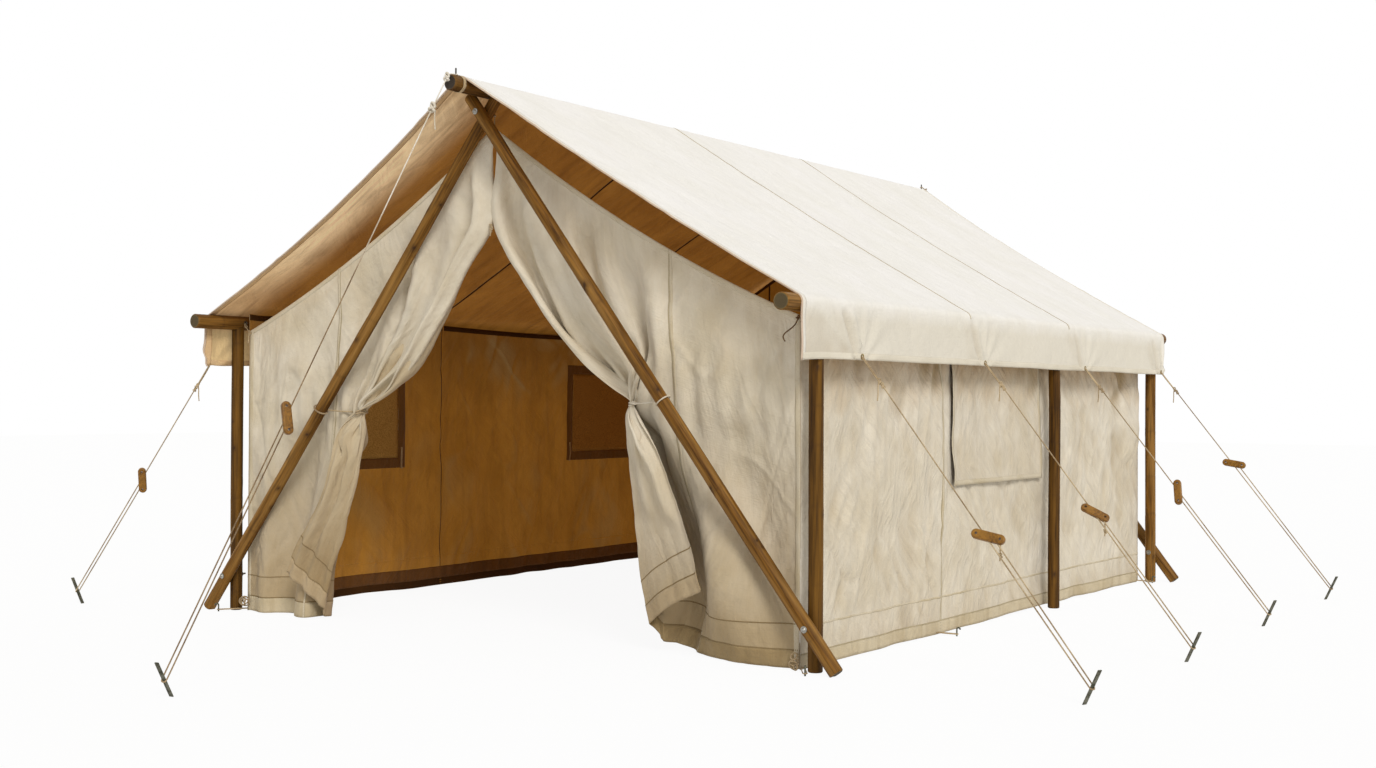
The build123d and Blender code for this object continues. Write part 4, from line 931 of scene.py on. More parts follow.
# window screens, bands and tapes are on the inside of the walls; the flaps hang outside from a seam above
tape = {"half": 0.007, "reach": 0.065, "off": 0.0045, "thick": 0.001}
flapSeeds = {"right": 110, "left_front": 120, "left_rear": 130}
for name, (side, y0, y1) in windows.items():
    def screenPlace(y, z, side=side):
        off = wallOff(side, y, z) - 0.001 + 0.001 * noise(y * 6, z * 6, 97)
        return np.stack([side * (wallOut + off), y, z], -1)

    def bandPlace(y, z, side=side):
        return np.stack([side * (wallOut + wallOff(side, y, z) - 0.0022), y, z], -1)
    screen = clothSheet(f"windowScreen_{name}", np.linspace(y0, y1, 30), np.linspace(windowSill, windowHead, 20),
                        screenPlace, [screenMesh], thick=0.0006)
    own(screen, "window_mesh", "window_screens")
    bandYs = steps(y0 - windowBand, y0, y1, y1 + windowBand, pitchOf=0.015)
    bandZs = steps(windowSill - windowBand, windowSill, windowHead, windowHead + windowBand, pitchOf=0.015)
    band = clothSheet(f"windowBand_{name}", bandYs, bandZs, bandPlace, [bandCanvas], side > 0, thick=0.0013,
                      gap=openings([(y0, y1)]))
    own(band, "wall_canvas", "window_frames")
    for end, tapeY in (("a", y0 - windowBand / 2), ("b", y1 + windowBand / 2)):
        def tapePlace(y, z, side=side, tapeY=tapeY):
            hang = np.clip((windowSill + tape["reach"] - z) / (2 * tape["reach"]), 0, 1)
            off = -tape["off"] - 0.004 * np.sin(5 * hang) * hang + np.minimum(wallOff(side, y, z), 0)
            return np.stack([side * (wallOut + off), y + 0.006 * hang * np.sin(4 * hang + tapeY * 9), z], -1)
        tapeYs = np.linspace(tapeY - tape["half"], tapeY + tape["half"], 3)
        tapeZs = np.linspace(windowSill - tape["reach"], windowSill + tape["reach"], 14)
        own(clothSheet(f"windowTape_{name}_{end}", tapeYs, tapeZs, tapePlace, [webbing], side > 0,
                       thick=tape["thick"]), "wall_canvas")

for name, (side, y0, y1) in windows.items():
    ys = steps(y0 - flapMargin, y1 + flapMargin, pitchOf=0.013)
    zs = steps(windowSill - flapMargin, windowHead + flapMargin, pitchOf=0.013)
    seed, body, flip = flapSeeds[name], f"window_flap_{name}_body", side < 0

    def flapPlace(y, z, side=side, y0=y0, y1=y1, seed=seed):
        down = (windowHead + flapMargin - z) / (windowHead - windowSill + 2 * flapMargin)
        frontEdge = np.exp(-((y - y0 + flapMargin) / 0.05) ** 2)
        rearEdge = np.exp(-((y - y1 - flapMargin) / 0.05) ** 2)
        out = 0.004 + 0.003 * noise(y * 5, z * 4, seed) + 1.5 * wrinkles(y, z, seed + 2)
        out = 0.0014 + smooth(down, 0, 0.12) * out
        loose = (frontEdge + 0.5 * rearEdge) * smooth(down, 0.02, 0.2)
        out = out + loose * (0.012 + 0.010 * noise(0.3, z * 6, seed + 3))
        out = out + smooth(down, 0.8, 1.0) * (0.005 + 0.004 * noise(y * 4, 0.2, seed + 4))
        out = np.maximum(out, 0.0012) + np.maximum(wallOff(side, y, z), 0) * 0.6
        swing = (frontEdge - rearEdge) * noise(0.7, z * 5, seed + 6) * smooth(down, 0.05, 0.3)
        return np.stack([side * (wallOut + sewn["thick"] + out), y + 0.006 * swing, z], -1)
    flap = clothSheet(f"windowFlap_{name}", ys, zs, flapPlace, [wallCanvas, flapLining], flip)
    own(flap, "wall_canvas", f"window_flap_{name}", body=body)
    # the flaps are a little darker all over and in their hollows: partly dirt, partly painted shade
    stainAndShadeOn(flap, ys, zs, soiledAndShaded(seed + 2, lambda z: 0.09, 0.30, 0.45))
    hems = [own(clothSheet(f"flapHem_{name}_{label}", across, down, flapPlace, [stitchedWall], flip,
                           sewn["lift"], 0.001), "wall_canvas", body=body)
            for label, across, down in (("low", ys, np.linspace(zs[0] + 0.0008, zs[0] + 0.026, 3)),
                                        ("front", np.linspace(ys[0] + 0.0008, ys[0] + 0.022, 3), zs),
                                        ("rear", np.linspace(ys[-1] - 0.022, ys[-1] - 0.0008, 3), zs))]
print("side walls and windows")

gable = {"half": wallOut - 0.0033, "apex": apexZ, "corner": eaveZ - 0.045, "sag": 0.0684,
         "band": 0.078, "line": 0.190, "topHem": 0.026}


def gableTop(x):
    # height of an end wall's upper edge, which hangs in a shallow curve
    t = np.clip(np.abs(x) / gable["half"], 0, 1)
    return gable["apex"] + (gable["corner"] - gable["apex"]) * t - gable["sag"] * 4 * t * (1 - t)


def rearTop(x):
    # the rear wall reaches up close under the roof
    share = np.clip((np.abs(x) - roof["bend"] * math.sin(pitch)) / halfSpan, 0, 1)
    under = ridgeZ + roof["bend"] * math.cos(pitch) - (ridgeZ - eaveZ) * share - 4 * share * (1 - share) * 0.034
    return np.minimum(under - 0.014, gable["apex"] - 0.02 * np.abs(x))


def rearPlace(x, t):
    z = rearTop(x) * (1 - t) + 0.001
    off = 0.010 * noise(x * 1.3, z * 1.1, 140) + 0.005 * noise(x * 4, z, 141) + wrinkles(x, z, 142)
    off = off * smooth(t, 0, 0.1) * smooth(gable["half"] - np.abs(x), 0, 0.08) * smooth(z, -0.02, 0.2)
    return np.stack([x, gableRear + off * 0.8, z], -1)


def fromHem(place, topOf, lowOf=lambda c: 0.0):
    # the same cloth, measured up from its lower edge
    return lambda c, up: place(c, 1 - up / (topOf(c) - lowOf(c)))


def fromTop(place, topOf, lowOf=lambda c: 0.0):
    return lambda c, down: place(c, down / (topOf(c) - lowOf(c)))


rearXs = steps(-gable["half"], 0, gable["half"], pitchOf=0.016)
rearTs = np.linspace(0, 1, 130)
rearWall = clothSheet("rearWall", rearXs, rearTs, rearPlace, [wallCanvas, insideCanvas])
own(rearWall, "wall_canvas", "wall_rear")
rearUp, rearDown = fromHem(rearPlace, rearTop), fromTop(rearPlace, rearTop)
rearHems = [bothFaces(f"rearWall{label}", rearXs, np.linspace(low, high, count), where, cloths, flip)
            for label, low, high, count, where, cloths, flip in (
                ("Hem", 0.0005, gable["band"], 5, rearUp, [sodCanvas, hemInsideShaded], True),
                ("HemEdge", gable["band"], gable["band"] + edge, 3, rearUp, backed, True),
                ("Line", gable["line"], gable["line"] + edge, 3, rearUp, [seamShadow, insideCanvas], True),
                ("TopHem", 0.0005, gable["topHem"], 3, rearDown, [stitchedWall, insideSeam], False))]
for number, seamX in enumerate((-1.05, 0.0, 1.05), 1):
    seamXs = np.linspace(seamX - 0.007, seamX + 0.007, 3)
    rearHems.append(bothFaces(f"rearWallSeam_{number}", seamXs, rearTs, rearPlace, [stitchedWall, insideSeam],
                              False))

# Each front half is one cloth from its corner to the door's closing edge, gathered to a tie.
# Tables give, by height, where three threads of it lie: the closing edge, the fold of the fall and the door seam;
# above and below give the bends along the cloth, from the closing edge to the corner.
doorSeam, slitZ = 1.05, 2.003
doors = {
    "right": {
        "side": 1, "tie": 1.150, "foldAt": 0.47,
        "full": {"gathered": 1.20, "front": 0.74, "low": 0.74, "rear": 0.74, "panel": 0.95},
        "edge": ((0.0, 1.345), (0.319, 1.272), (0.372, 1.252), (0.486, 1.223), (0.617, 1.168),
                    (0.789, 1.088), (0.958, 1.005),
                 (1.05, 0.945), (1.11, 0.895), (1.15, 0.846), (1.20, 0.770), (1.263, 0.667),
                    (1.445, 0.446), (1.749, 0.180),
                 (1.991, 0.010), (2.30, 0.006), (2.6, 0.001)),
        "fold": ((0.0, 0.945), (0.113, 0.922), (0.25, 0.888), (0.495, 0.859), (0.776, 0.828),
                    (0.952, 0.812), (1.05, 0.812),
                 (1.11, 0.828), (1.15, 0.862), (1.27, 0.850), (1.55, 0.660), (2.003, 0.455), (2.6, 0.462)),
        "seam": ((0.0, 1.120), (0.12, 1.165), (0.24, 1.195), (0.51, 1.185), (0.90, 1.095), (1.15, 1.078),
                    (1.39, 1.062),
                 (1.65, 1.046), (2.6, 1.046)),
        "edgeY": ((0.0, -0.080), (0.40, -0.072), (0.80, -0.060), (1.05, -0.044), (1.16, -0.030),
                    (1.4, -0.012), (2.0, 0.0)),
        "foldY": ((0.0, 0.060), (0.30, 0.040), (0.80, 0.015), (1.10, 0.004), (1.20, 0.006), (2.0, 0.0)),
        "seamY": ((0.0, 0.115), (0.25, 0.105), (0.50, 0.078), (0.90, 0.022), (1.20, 0.006), (2.0, 0.0)),
        "drift": ((0.0, 0.19), (0.3, 0.005), (0.6, -0.16), (0.9, -0.29), (1.2, -0.30), (2.6, -0.30)),
        "hem": ((0.0, 0.319), (0.25, 0.235), (0.40, 0.165), (0.47, 0.125), (0.56, 0.082), (0.70, 0.050),
                    (0.85, 0.026),
                (1.00, 0.012), (1.20, 0.005), (1.742, 0.004)),
        "above": ((0, 0.4), (0.05, -0.8), (0.10, 2.6), (0.14, 2.4), (0.20, -1.1), (0.30, 0.4),
                    (0.42, -0.6), (0.50, 0.9), (0.60, -0.4),
                  (0.74, 0.4), (0.85, -0.4), (1.05, 0.2), (1.22, -0.2), (1.42, 0.3), (1.60, -0.1),
                    (1.742, 0.0)),
        "below": ((0, 0.0), (0.08, 0.4), (0.17, -0.4), (0.27, 0.3), (0.38, -0.4), (0.47, 0.2),
                    (0.58, 1.0), (0.72, 0.5),
                  (0.86, -0.5), (1.00, -1.0), (1.14, -0.9), (1.27, -0.5), (1.36, 0.1), (1.48, 0.5),
                    (1.60, 0.9), (1.742, 0.0)),
        "seed": 210,
    },
    "left": {
        "side": -1, "tie": 1.097, "foldAt": 0.50,
        "full": {"gathered": 1.24, "front": 0.70, "low": 0.50, "rear": 0.50, "panel": 0.85},
        "edge": ((0.0, 1.360), (0.252, 1.295), (0.417, 1.212), (0.554, 1.122), (0.682, 1.049),
                    (0.80, 1.015), (0.932, 0.986),
                 (1.02, 0.950), (1.08, 0.900), (1.13, 0.810), (1.182, 0.700), (1.309, 0.530),
                    (1.548, 0.337), (1.841, 0.140),
                 (2.003, 0.014), (2.30, 0.008), (2.6, 0.001)),
        "fold": ((0.0, 1.165), (0.14, 1.115), (0.257, 1.078), (0.471, 0.990), (0.73, 0.908),
                    (0.948, 0.871), (1.04, 0.862),
                 (1.10, 0.885), (1.27, 0.800), (1.61, 0.600), (2.003, 0.490), (2.6, 0.492)),
        "seam": ((0.0, 1.240), (0.24, 1.235), (0.51, 1.190), (0.90, 1.100), (1.15, 1.078), (1.39, 1.062),
                    (1.65, 1.046),
                 (2.6, 1.046)),
        "edgeY": ((0.0, -0.130), (0.26, -0.125), (0.60, -0.105), (1.00, -0.060), (1.12, -0.035),
                    (1.4, -0.012), (2.0, 0.0)),
        "foldY": ((0.0, -0.020), (0.30, -0.025), (0.80, -0.022), (1.05, -0.014), (1.20, 0.0), (2.0, 0.0)),
        "seamY": ((0.0, -0.060), (0.25, -0.034), (0.50, -0.008), (0.90, 0.004), (1.20, 0.004), (2.0, 0.0)),
        "drift": ((0.0, 0.0), (2.6, 0.0)),
        "hem": ((0.0, 0.252), (0.25, 0.160), (0.42, 0.095), (0.50, 0.064), (0.60, 0.026), (0.75, 0.007),
                    (1.742, 0.004)),
        "above": ((0, 0.3), (0.05, -0.8), (0.11, -0.7), (0.155, 2.7), (0.195, 2.6), (0.25, -1.1),
                    (0.35, 0.4), (0.45, -1.3),
                  (0.53, 1.7), (0.58, 1.4), (0.67, -0.7), (0.82, 0.5), (0.95, -0.4), (1.10, 0.2),
                    (1.28, -0.2), (1.50, 0.2), (1.742, 0.0)),
        "below": ((0, 0.0), (0.07, 0.4), (0.16, -0.5), (0.27, 0.4), (0.38, -0.4), (0.50, 0.3),
                    (0.60, 0.9), (0.74, 0.4),
                  (0.86, -0.6), (0.98, -0.7), (1.10, 0.1), (1.22, 0.5), (1.36, -0.3), (1.50, -0.5),
                    (1.62, 0.4), (1.742, 0.0)),
        "seed": 230,
    },
}


def table(pairs, at):
    # a smooth line through a short list of pairs
    xs, ys = np.array(pairs, float).T
    slope = np.gradient(ys, xs)
    at = np.clip(at, xs[0], xs[-1])
    i = np.clip(np.searchsorted(xs, at) - 1, 0, len(xs) - 2)
    width = xs[i + 1] - xs[i]
    t = (at - xs[i]) / width
    return ((1 + 2 * t) * (1 - t) ** 2 * ys[i] + t * (1 - t) ** 2 * width * slope[i]
            + t * t * (3 - 2 * t) * ys[i + 1] + t * t * (t - 1) * width * slope[i + 1])


def doorSection(door):
    # cross-sections of the cloth, one each height: how it runs from the corner to the closing edge
    half, seed, tie, foldAt = gable["half"], door["seed"], door["tie"], door["foldAt"]
    heights, cloth = np.linspace(0, 2.56, 220), np.linspace(0, half, 460)
    c, z = np.meshgrid(cloth, heights)
    edgeX, foldX, seamX = (table(door[key], heights) for key in ("edge", "fold", "seam"))
    hang = smooth(tie - z, -0.02, 0.30)
    # the long ridge of the panel swings outward as it comes down
    wander = c + 0.022 * noise(c * 2.4, z * 1.3, seed) * smooth(c, 0.03, 0.2)
    drifted = wander - table(door["drift"], z) * smooth(c, 0.60, 0.95) * smooth(half - c, 0, 0.15)
    drifted = np.clip(drifted, 0, 1.742)
    long = table(door["above"], wander) * (1 - hang) + table(door["below"], drifted) * hang
    # close to the tie the long folds break up into small ones
    gather = np.exp(-((z - tie) / np.where(z > tie, 0.26, 0.16)) ** 2)
    small = np.sin(math.tau * 8.3 * c + 1.6 * noise(c * 6, z * 1.5, seed + 1))
    small = small * (1 + 0.4 * noise(c * 7, z * 2, seed + 3)) * (1 - 0.75 * smooth(c, 0.72, 0.95))
    bends = long * (1 - gather) + (small + 0.35 * long) * gather
    uneven = 1 + 0.15 * noise(c * 5.3, z * 0.8, seed + 2)
    # below the tie the cloth turns back on itself at the fold, and the closing edge is rolled inward
    turned = smooth(tie - heights, -0.035, 0.045)[:, None]
    back = math.pi * turned * smooth(foldAt - c, -0.045, 0.045)
    roll = -2.4 * smooth(0.045 - c, 0, 0.045) * (1 - 0.6 * hang)
    pastFold = smooth(c, foldAt - 0.03, foldAt + 0.03)
    pastSeam = smooth(c, doorSeam - 0.02, doorSeam + 0.06)
    shares = {"panel": pastSeam * (1 - 0.8 * smooth(c, half - 0.25, half)), "rear": pastFold * (1 - pastSeam),
              "front": 1 - pastFold}
    # how much longer the cloth is than the way it covers
    full = door["full"]
    front = full["front"] + (full["low"] - full["front"]) * smooth(0.75 - z, 0, 0.45)
    fall = front + (full["rear"] - front) * pastFold
    panel = 0.985 + (full["panel"] - 0.985) * smooth(tie - z, 0.2, 1.1)
    share = smooth(c, doorSeam - 0.05, doorSeam + 0.10)
    long = panel * share + (full["gathered"] + (fall - full["gathered"]) * hang) * (1 - share)
    step = np.diff(cloth)[None] * long[:, 1:]

    def laidOut(sizes):
        swing = sum(sizes[key][:, None] * shares[key] for key in sizes) * uneven
        angle = math.pi + back + roll + np.clip(swing, 0, 2.15) * bends
        x, y = np.full_like(c, half), np.zeros_like(c)
        for grid, way in ((x, np.cos(angle)), (y, np.sin(angle))):
            grid[:, :-1] += np.cumsum((way[:, :-1] * step)[:, ::-1], 1)[:, ::-1]
        return x, y

    # solved from the corner inward, so that the cloth reaches the seam, the fold and the closing edge
    columns = {"corner": len(cloth) - 1, "panel": int(np.argmin(abs(cloth - doorSeam))),
               "rear": int(np.argmin(abs(cloth - foldAt))), "front": 6}
    targets = {"corner": np.full(len(heights), half), "panel": seamX, "rear": foldX, "front": edgeX}
    solved = {key: np.full(len(heights), 0.3) for key in shares}
    for _ in range(3):
        for before, key in zip(columns, shares):
            low, high = np.zeros(len(heights)), np.full(len(heights), 2.3)
            for _ in range(16):
                solved[key] = (low + high) / 2
                x, y = laidOut(solved)
                reach = np.abs(x[:, columns[key]] - x[:, columns[before]])
                tooLong = reach > np.abs(targets[key] - targets[before])
                low, high = np.where(tooLong, solved[key], low), np.where(tooLong, high, solved[key])
    x, y = laidOut(solved)
    # settle what is left over so that the three threads lie where they are wanted
    order = ("front", "rear", "panel", "corner")
    stations = [columns[key] for key in order]
    wantedY = [*(table(door[key], heights) for key in ("edgeY", "foldY", "seamY")), np.zeros(len(heights))]
    for grid, wanted in ((x, [targets[key] for key in order]), (y, wantedY)):
        for row in range(len(heights)):
            gaps = [aim[row] - grid[row, at] for aim, at in zip(wanted, stations)]
            grid[row] += np.interp(cloth, cloth[stations], gaps)
    # below the tie no loop stands out past the fold of the fall
    below = smooth(tie + 0.05 - z, 0, 0.07) * smooth(0.80 - c, 0, 0.10)
    foldX, foldY = foldX[:, None], wantedY[1][:, None]
    x = x + 0.92 * below * np.maximum(foldX - 0.002 - x, 0)
    y = y - 0.85 * below * np.maximum(y - foldY - 0.010, 0)
    beside = np.exp(-((x - foldX) / 0.06) ** 2) * below
    y = y + 0.85 * beside * np.maximum(foldY - 0.012 - y, 0)
    kernel = np.hanning(9)[1:-1]
    kernel /= kernel.sum()
    for grid in (x, y):
        padded = np.pad(grid, ((3, 3), (0, 0)), mode="edge")
        grid[:] = sum(kernel[k] * padded[k:k + len(heights)] for k in range(7))
    return heights, cloth, x, y


def bilinear(grid, rowAt, columnAt):
    i = np.clip(rowAt.astype(int), 0, grid.shape[0] - 2)
    j = np.clip(columnAt.astype(int), 0, grid.shape[1] - 2)
    fi, fj = rowAt - i, columnAt - j
    return ((grid[i, j] * (1 - fi) + grid[i + 1, j] * fi) * (1 - fj)
            + (grid[i, j + 1] * (1 - fi) + grid[i + 1, j + 1] * fi) * fj)


def hemOf(door):
    return lambda c: np.maximum(table(door["hem"], c), 0.004)


def doorPlace(door, heights, cloth, sectionX, sectionY):
    def place(c, t):
        top = gableTop(c)
        z = top + (hemOf(door)(c) - top) * t
        rowAt, columnAt = z / (heights[1] - heights[0]), c / (cloth[1] - cloth[0])
        # the top edge is laced flat under the roof
        loose = smooth(top - z, 0.0, 0.32)
        x = c * (1 - loose) + bilinear(sectionX, rowAt, columnAt) * loose
        y = bilinear(sectionY, rowAt, columnAt) * loose
        calm = smooth(t, 0, 0.06) * smooth(gable["half"] - c, 0, 0.05)
        y = y + 1.25 * wrinkles(c, z, door["seed"] + 8) * calm
        x = x + 0.5 * wrinkles(z, c, door["seed"] + 19) * calm
        return np.stack([door["side"] * x, gableFront + y, z], -1)
    return place


doorShapes = {}
cs = np.unique(np.concatenate([np.linspace(0.001, doorSeam, 230), np.linspace(doorSeam, gable["half"], 90)]))
ts = np.linspace(0, 1, 230)
for hand, door in doors.items():
    doorShapes[hand] = doorSection(door)
    place = doorPlace(door, *doorShapes[hand])
    flip = door["side"] > 0
    # the left curtain's inner face takes the darker lining: painted shade on its fall
    lining, ground = (curtainCanvas, sodCanvas) if hand == "right" else (leftLiningInShade, creamBand)
    front = clothSheet(f"frontWall_{hand}", cs, ts, place, [curtainCanvas, lining], flip)
    own(front, "wall_canvas", f"front_wall_{hand}", f"door_curtain_{hand}")
    # the cloth from near the door seam to the corner darkens in its hollows: partly dirt, partly painted shade
    stainAndShadeOn(front, cs, ts, lambda c, t, seed=door["seed"] + 8:
            0.17 * hollows(c, gableTop(c) * (1 - t), seed) * smooth(c, 0.7, 1.0))
    up, down = fromHem(place, gableTop, hemOf(door)), fromTop(place, gableTop, hemOf(door))
    strips = [bothFaces(f"frontWall{label}_{hand}", across, downs, where, cloths, turned)
              for label, across, downs, where, cloths, turned in (
        ("Band", cs, np.linspace(0.0005, gable["band"], 7), up, [ground, hemCanvas], not flip),
        ("BandEdge", cs, np.linspace(gable["band"], gable["band"] + edge, 3), up, [seamLine] * 2, not flip),
        ("Line", cs, np.linspace(gable["line"], gable["line"] + 0.005, 3), up, [seamLine] * 2, not flip),
        ("TopHem", cs, np.linspace(0.0005, gable["topHem"], 4), down, [stitchedWall] * 2, flip),
        ("Seam", np.linspace(doorSeam, doorSeam + 0.014, 3), ts, place, [stitchedWall] * 2, flip),
        ("SeamEdge", np.linspace(doorSeam - 0.005, doorSeam, 3), ts, place, [seamShadow] * 2, flip),
        ("Edge", np.linspace(gable["half"] - 0.030, gable["half"] - 0.001, 4), ts, place,
         [stitchedWall] * 2, flip))]
print("end walls and curtains")


def pole(name, node, start, end, radii, seed, woods=(poleWood, endGrain), bend=0.0, knots=(), rings=(), still=(),
         trim=None, chamfer=0.004, rough=0.018):
    # a peeled trunk; still lists the places, as shares of the length, where it has to lie on its line
    start, end = Vector(start), Vector(end)
    axis, length = (end - start).normalized(), (end - start).length
    side = axis.cross(plumb if abs(axis.z) < 0.9 else Vector((0, 1, 0))).normalized()
    up = axis.cross(side)
    runs = np.concatenate([[0], steps(chamfer, length - chamfer), [length]])
    around = 40
    s, a = np.meshgrid(runs, np.linspace(0, math.tau, around, endpoint=False), indexing="ij")
    plain = radii[0] + (radii[1] - radii[0]) * s / length
    dent, mark, calm = np.zeros_like(s), np.zeros_like(s), np.ones_like(s)
    for turns in (1, 2):
        dent += noise(s * 2.2 * turns, 3 + 1.3 * turns * np.cos(a), seed + turns) / turns
        dent += noise(s * 2.0 * turns, 9 + 1.3 * turns * np.sin(a), seed + 4 + turns) / turns
    dent = 0.5 * dent - 0.5
    for at, angle, size in knots:
        turned = (a - angle + math.pi) % math.tau - math.pi
        apart = ((s - at * length) / (0.9 * size)) ** 2 + (turned * plain / (0.7 * size)) ** 2
        dent += 2.2 * np.exp(-apart * 0.6) - 1.6 * np.exp(-apart * 5)
        mark = np.maximum(mark, 1.15 * np.exp(-apart * 1.3) * (0.75 + 0.25 * np.cos(apart * 9)))
    for at, weight in rings:
        wave = s - at * length - 0.006 * np.cos(a + seed)
        dent += weight * (1.5 * np.exp(-(wave / 0.010) ** 2) - 1.1 * np.exp(-((wave - 0.016) / 0.007) ** 2))
        mark = np.maximum(mark, 0.45 * weight * np.exp(-((wave - 0.014) / 0.008) ** 2))
    for at in still:
        calm = calm * (1 - 0.92 * np.exp(-((s - at * length) / 0.07) ** 2))
    radius = np.minimum(plain * (1 + rough * dent * calm), plain * (1.0 if bend == 0 else 1.06))
    radius[[0, -1]] -= chamfer
    quiet = np.ones_like(runs)
    for at in (0, 1, *still):
        quiet = quiet * (1 - np.exp(-((runs - at * length) / 0.22) ** 2))
    centre = np.array(start) + np.outer(runs, axis)
    for way, where, number in ((side, 0.3, 11), (up, 7.3, 12)):
        centre = centre + np.outer(bend * noise(runs * 0.9, where, seed + number) * quiet, way)
    ring = np.cos(a)[..., None] * np.array(side) + np.sin(a)[..., None] * np.array(up)
    points = centre[:, None] + ring * radius[..., None]
    if trim:
        points = trim(points)
    points = points.reshape(-1, 3)
    grain = np.stack([radius * np.cos(a), radius * np.sin(a), s + seed * 1.7], -1).reshape(-1, 3)
    index = np.arange(len(points)).reshape(s.shape)
    faces, caps = skin(index), []
    # each end is a few rings of sawn wood round its heart
    allPoints, allGrain, new = [points], [grain], len(points)
    for last, flip in ((0, True), (len(runs) - 1, False)):
        border = index[last]
        heart = points[border].mean(0)
        for share in (0.66, 0.33):
            allPoints.append(heart + (points[index[last]] - heart) * share)
            allGrain.append(grain[index[last]] * [share, share, 1])
            inner = new + np.arange(around)
            new += around
            quads = np.stack([border, np.roll(border, -1), np.roll(inner, -1), inner], -1)
            caps += (quads[:, ::-1] if flip else quads).tolist()
            border = inner
        caps.append((border[::-1] if flip else border).tolist())
    made = meshFrom(name, np.concatenate(allPoints), faces + caps, woods)
    made.data.polygons.foreach_set("use_smooth", [True] * len(faces) + [False] * len(caps))
    made.data.polygons.foreach_set("material_index", [0] * len(faces) + [1] * len(caps))
    pointValues(made, "grain", np.concatenate(allGrain), "FLOAT_VECTOR", "vector")
    pointValues(made, "knot", np.concatenate([mark.reshape(-1), np.zeros(new - len(points))]))
    return own(made, "pole_wood", node)


def scattered(seed, count, size=0.018):
    pick = np.random.default_rng(seed)
    return [(pick.uniform(0.06, 0.94), pick.uniform(0, math.tau), size * pick.uniform(0.7, 1.4))
            for _ in range(count)]


def ringsAt(seed, count):
    pick = np.random.default_rng(seed)
    return [((i + pick.uniform(0.25, 0.75)) / count, pick.uniform(0.1, 0.7)) for i in range(count)]


def legLine(node):
    # a leg's middle and direction, and how far along it each of its points lies
    verts = vertsOf(node)
    centre = verts.mean(0)
    axis = np.linalg.svd((verts - centre)[::3], full_matrices=False)[2][0]
    axis = axis * np.sign(axis[2])
    return centre, axis, (verts - centre) @ axis


def flatFoot(points):
    points[..., 2] = np.maximum(points[..., 2], 0.0)
    return points


def saddleAt(x):
    # the top is hollowed to sit under the eave pole
    def saddle(points):
        limit = eaveZ - np.sqrt(np.maximum((poleRadius + 0.0004) ** 2 - (points[..., 0] - x) ** 2, 0))
        points[..., 2] = np.minimum(points[..., 2], limit)
        return points
    return saddle


level = (poleRadius, poleRadius)
pole("ridgePole", "ridge_pole", (0, ridgeLow.y, ridgeZ), (0, ridgeHigh.y, ridgeZ), level, 301,
     woods=(darkPoleWood, darkEndGrain), knots=scattered(31, 14), rings=ringsAt(32, 9), rough=0.012)
for side, hand in handOf.items():
    x = side * halfSpan
    pole(f"eavePole_{hand}", f"eave_pole_{hand}", (x, eaveLow.y, eaveZ), (x, eaveHigh.y, eaveZ), level, 310 + side,
         knots=scattered(33 + side, 12), rings=ringsAt(35 + side, 8), rough=0.012)
    for place, y, shift in (("front", frontY, 0), ("middle", middleY, 3), ("rear", rearY, 6)):
        node, seed = f"upright_{place}_{hand}", 320 + 10 * side + shift
        radius = (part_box(node)[1].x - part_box(node)[0].x) / 2
        pole(f"uprightPole_{place}_{hand}", node, (x, y, 0), (x, y, eaveZ - 0.012), (radius, radius * 0.985), seed,
             woods=(poleWood if place == "rear" else uprightWood, endGrain), bend=0.005, knots=scattered(seed, 6),
             rings=ringsAt(seed + 1, 6), still=(0.124, 0.97), trim=saddleAt(x))
    for end, outward in (("front", -1), ("rear", 1)):
        node, seed = f"{end}_leg_{hand}", 350 + 10 * side + outward
        centre, axis, reach = legLine(node)
        bottom, top = centre + axis * reach.min(), centre + axis * reach.max()
        pole(f"crossLeg_{end}_{hand}", node, bottom, top, (0.033, 0.030), seed, bend=0.006, trim=flatFoot,
             knots=scattered(seed, 15, size=0.023), rings=ringsAt(seed + 2, 9), still=(0.07, 0.967))
print("poles")


def stadium(a, b, radius, normal):
    # a closed loop round two points
    a, b = Vector(a), Vector(b)
    along = (b - a).normalized()
    side = Vector(normal).cross(along)
    points, half = [], 20
    for heart, begin in ((b, -math.pi / 2), (a, math.pi / 2)):
        for i in range(half):
            angle = begin + math.pi * i / (half - 1)
            points.append(heart + along * radius * math.cos(angle) + side * radius * math.sin(angle))
    dense = []
    for i, point in enumerate(points):
        following = points[(i + 1) % len(points)]
        count = max(1, int((following - point).length / 0.004))
        dense += [point.lerp(following, k / count) for k in range(count)]
    return dense


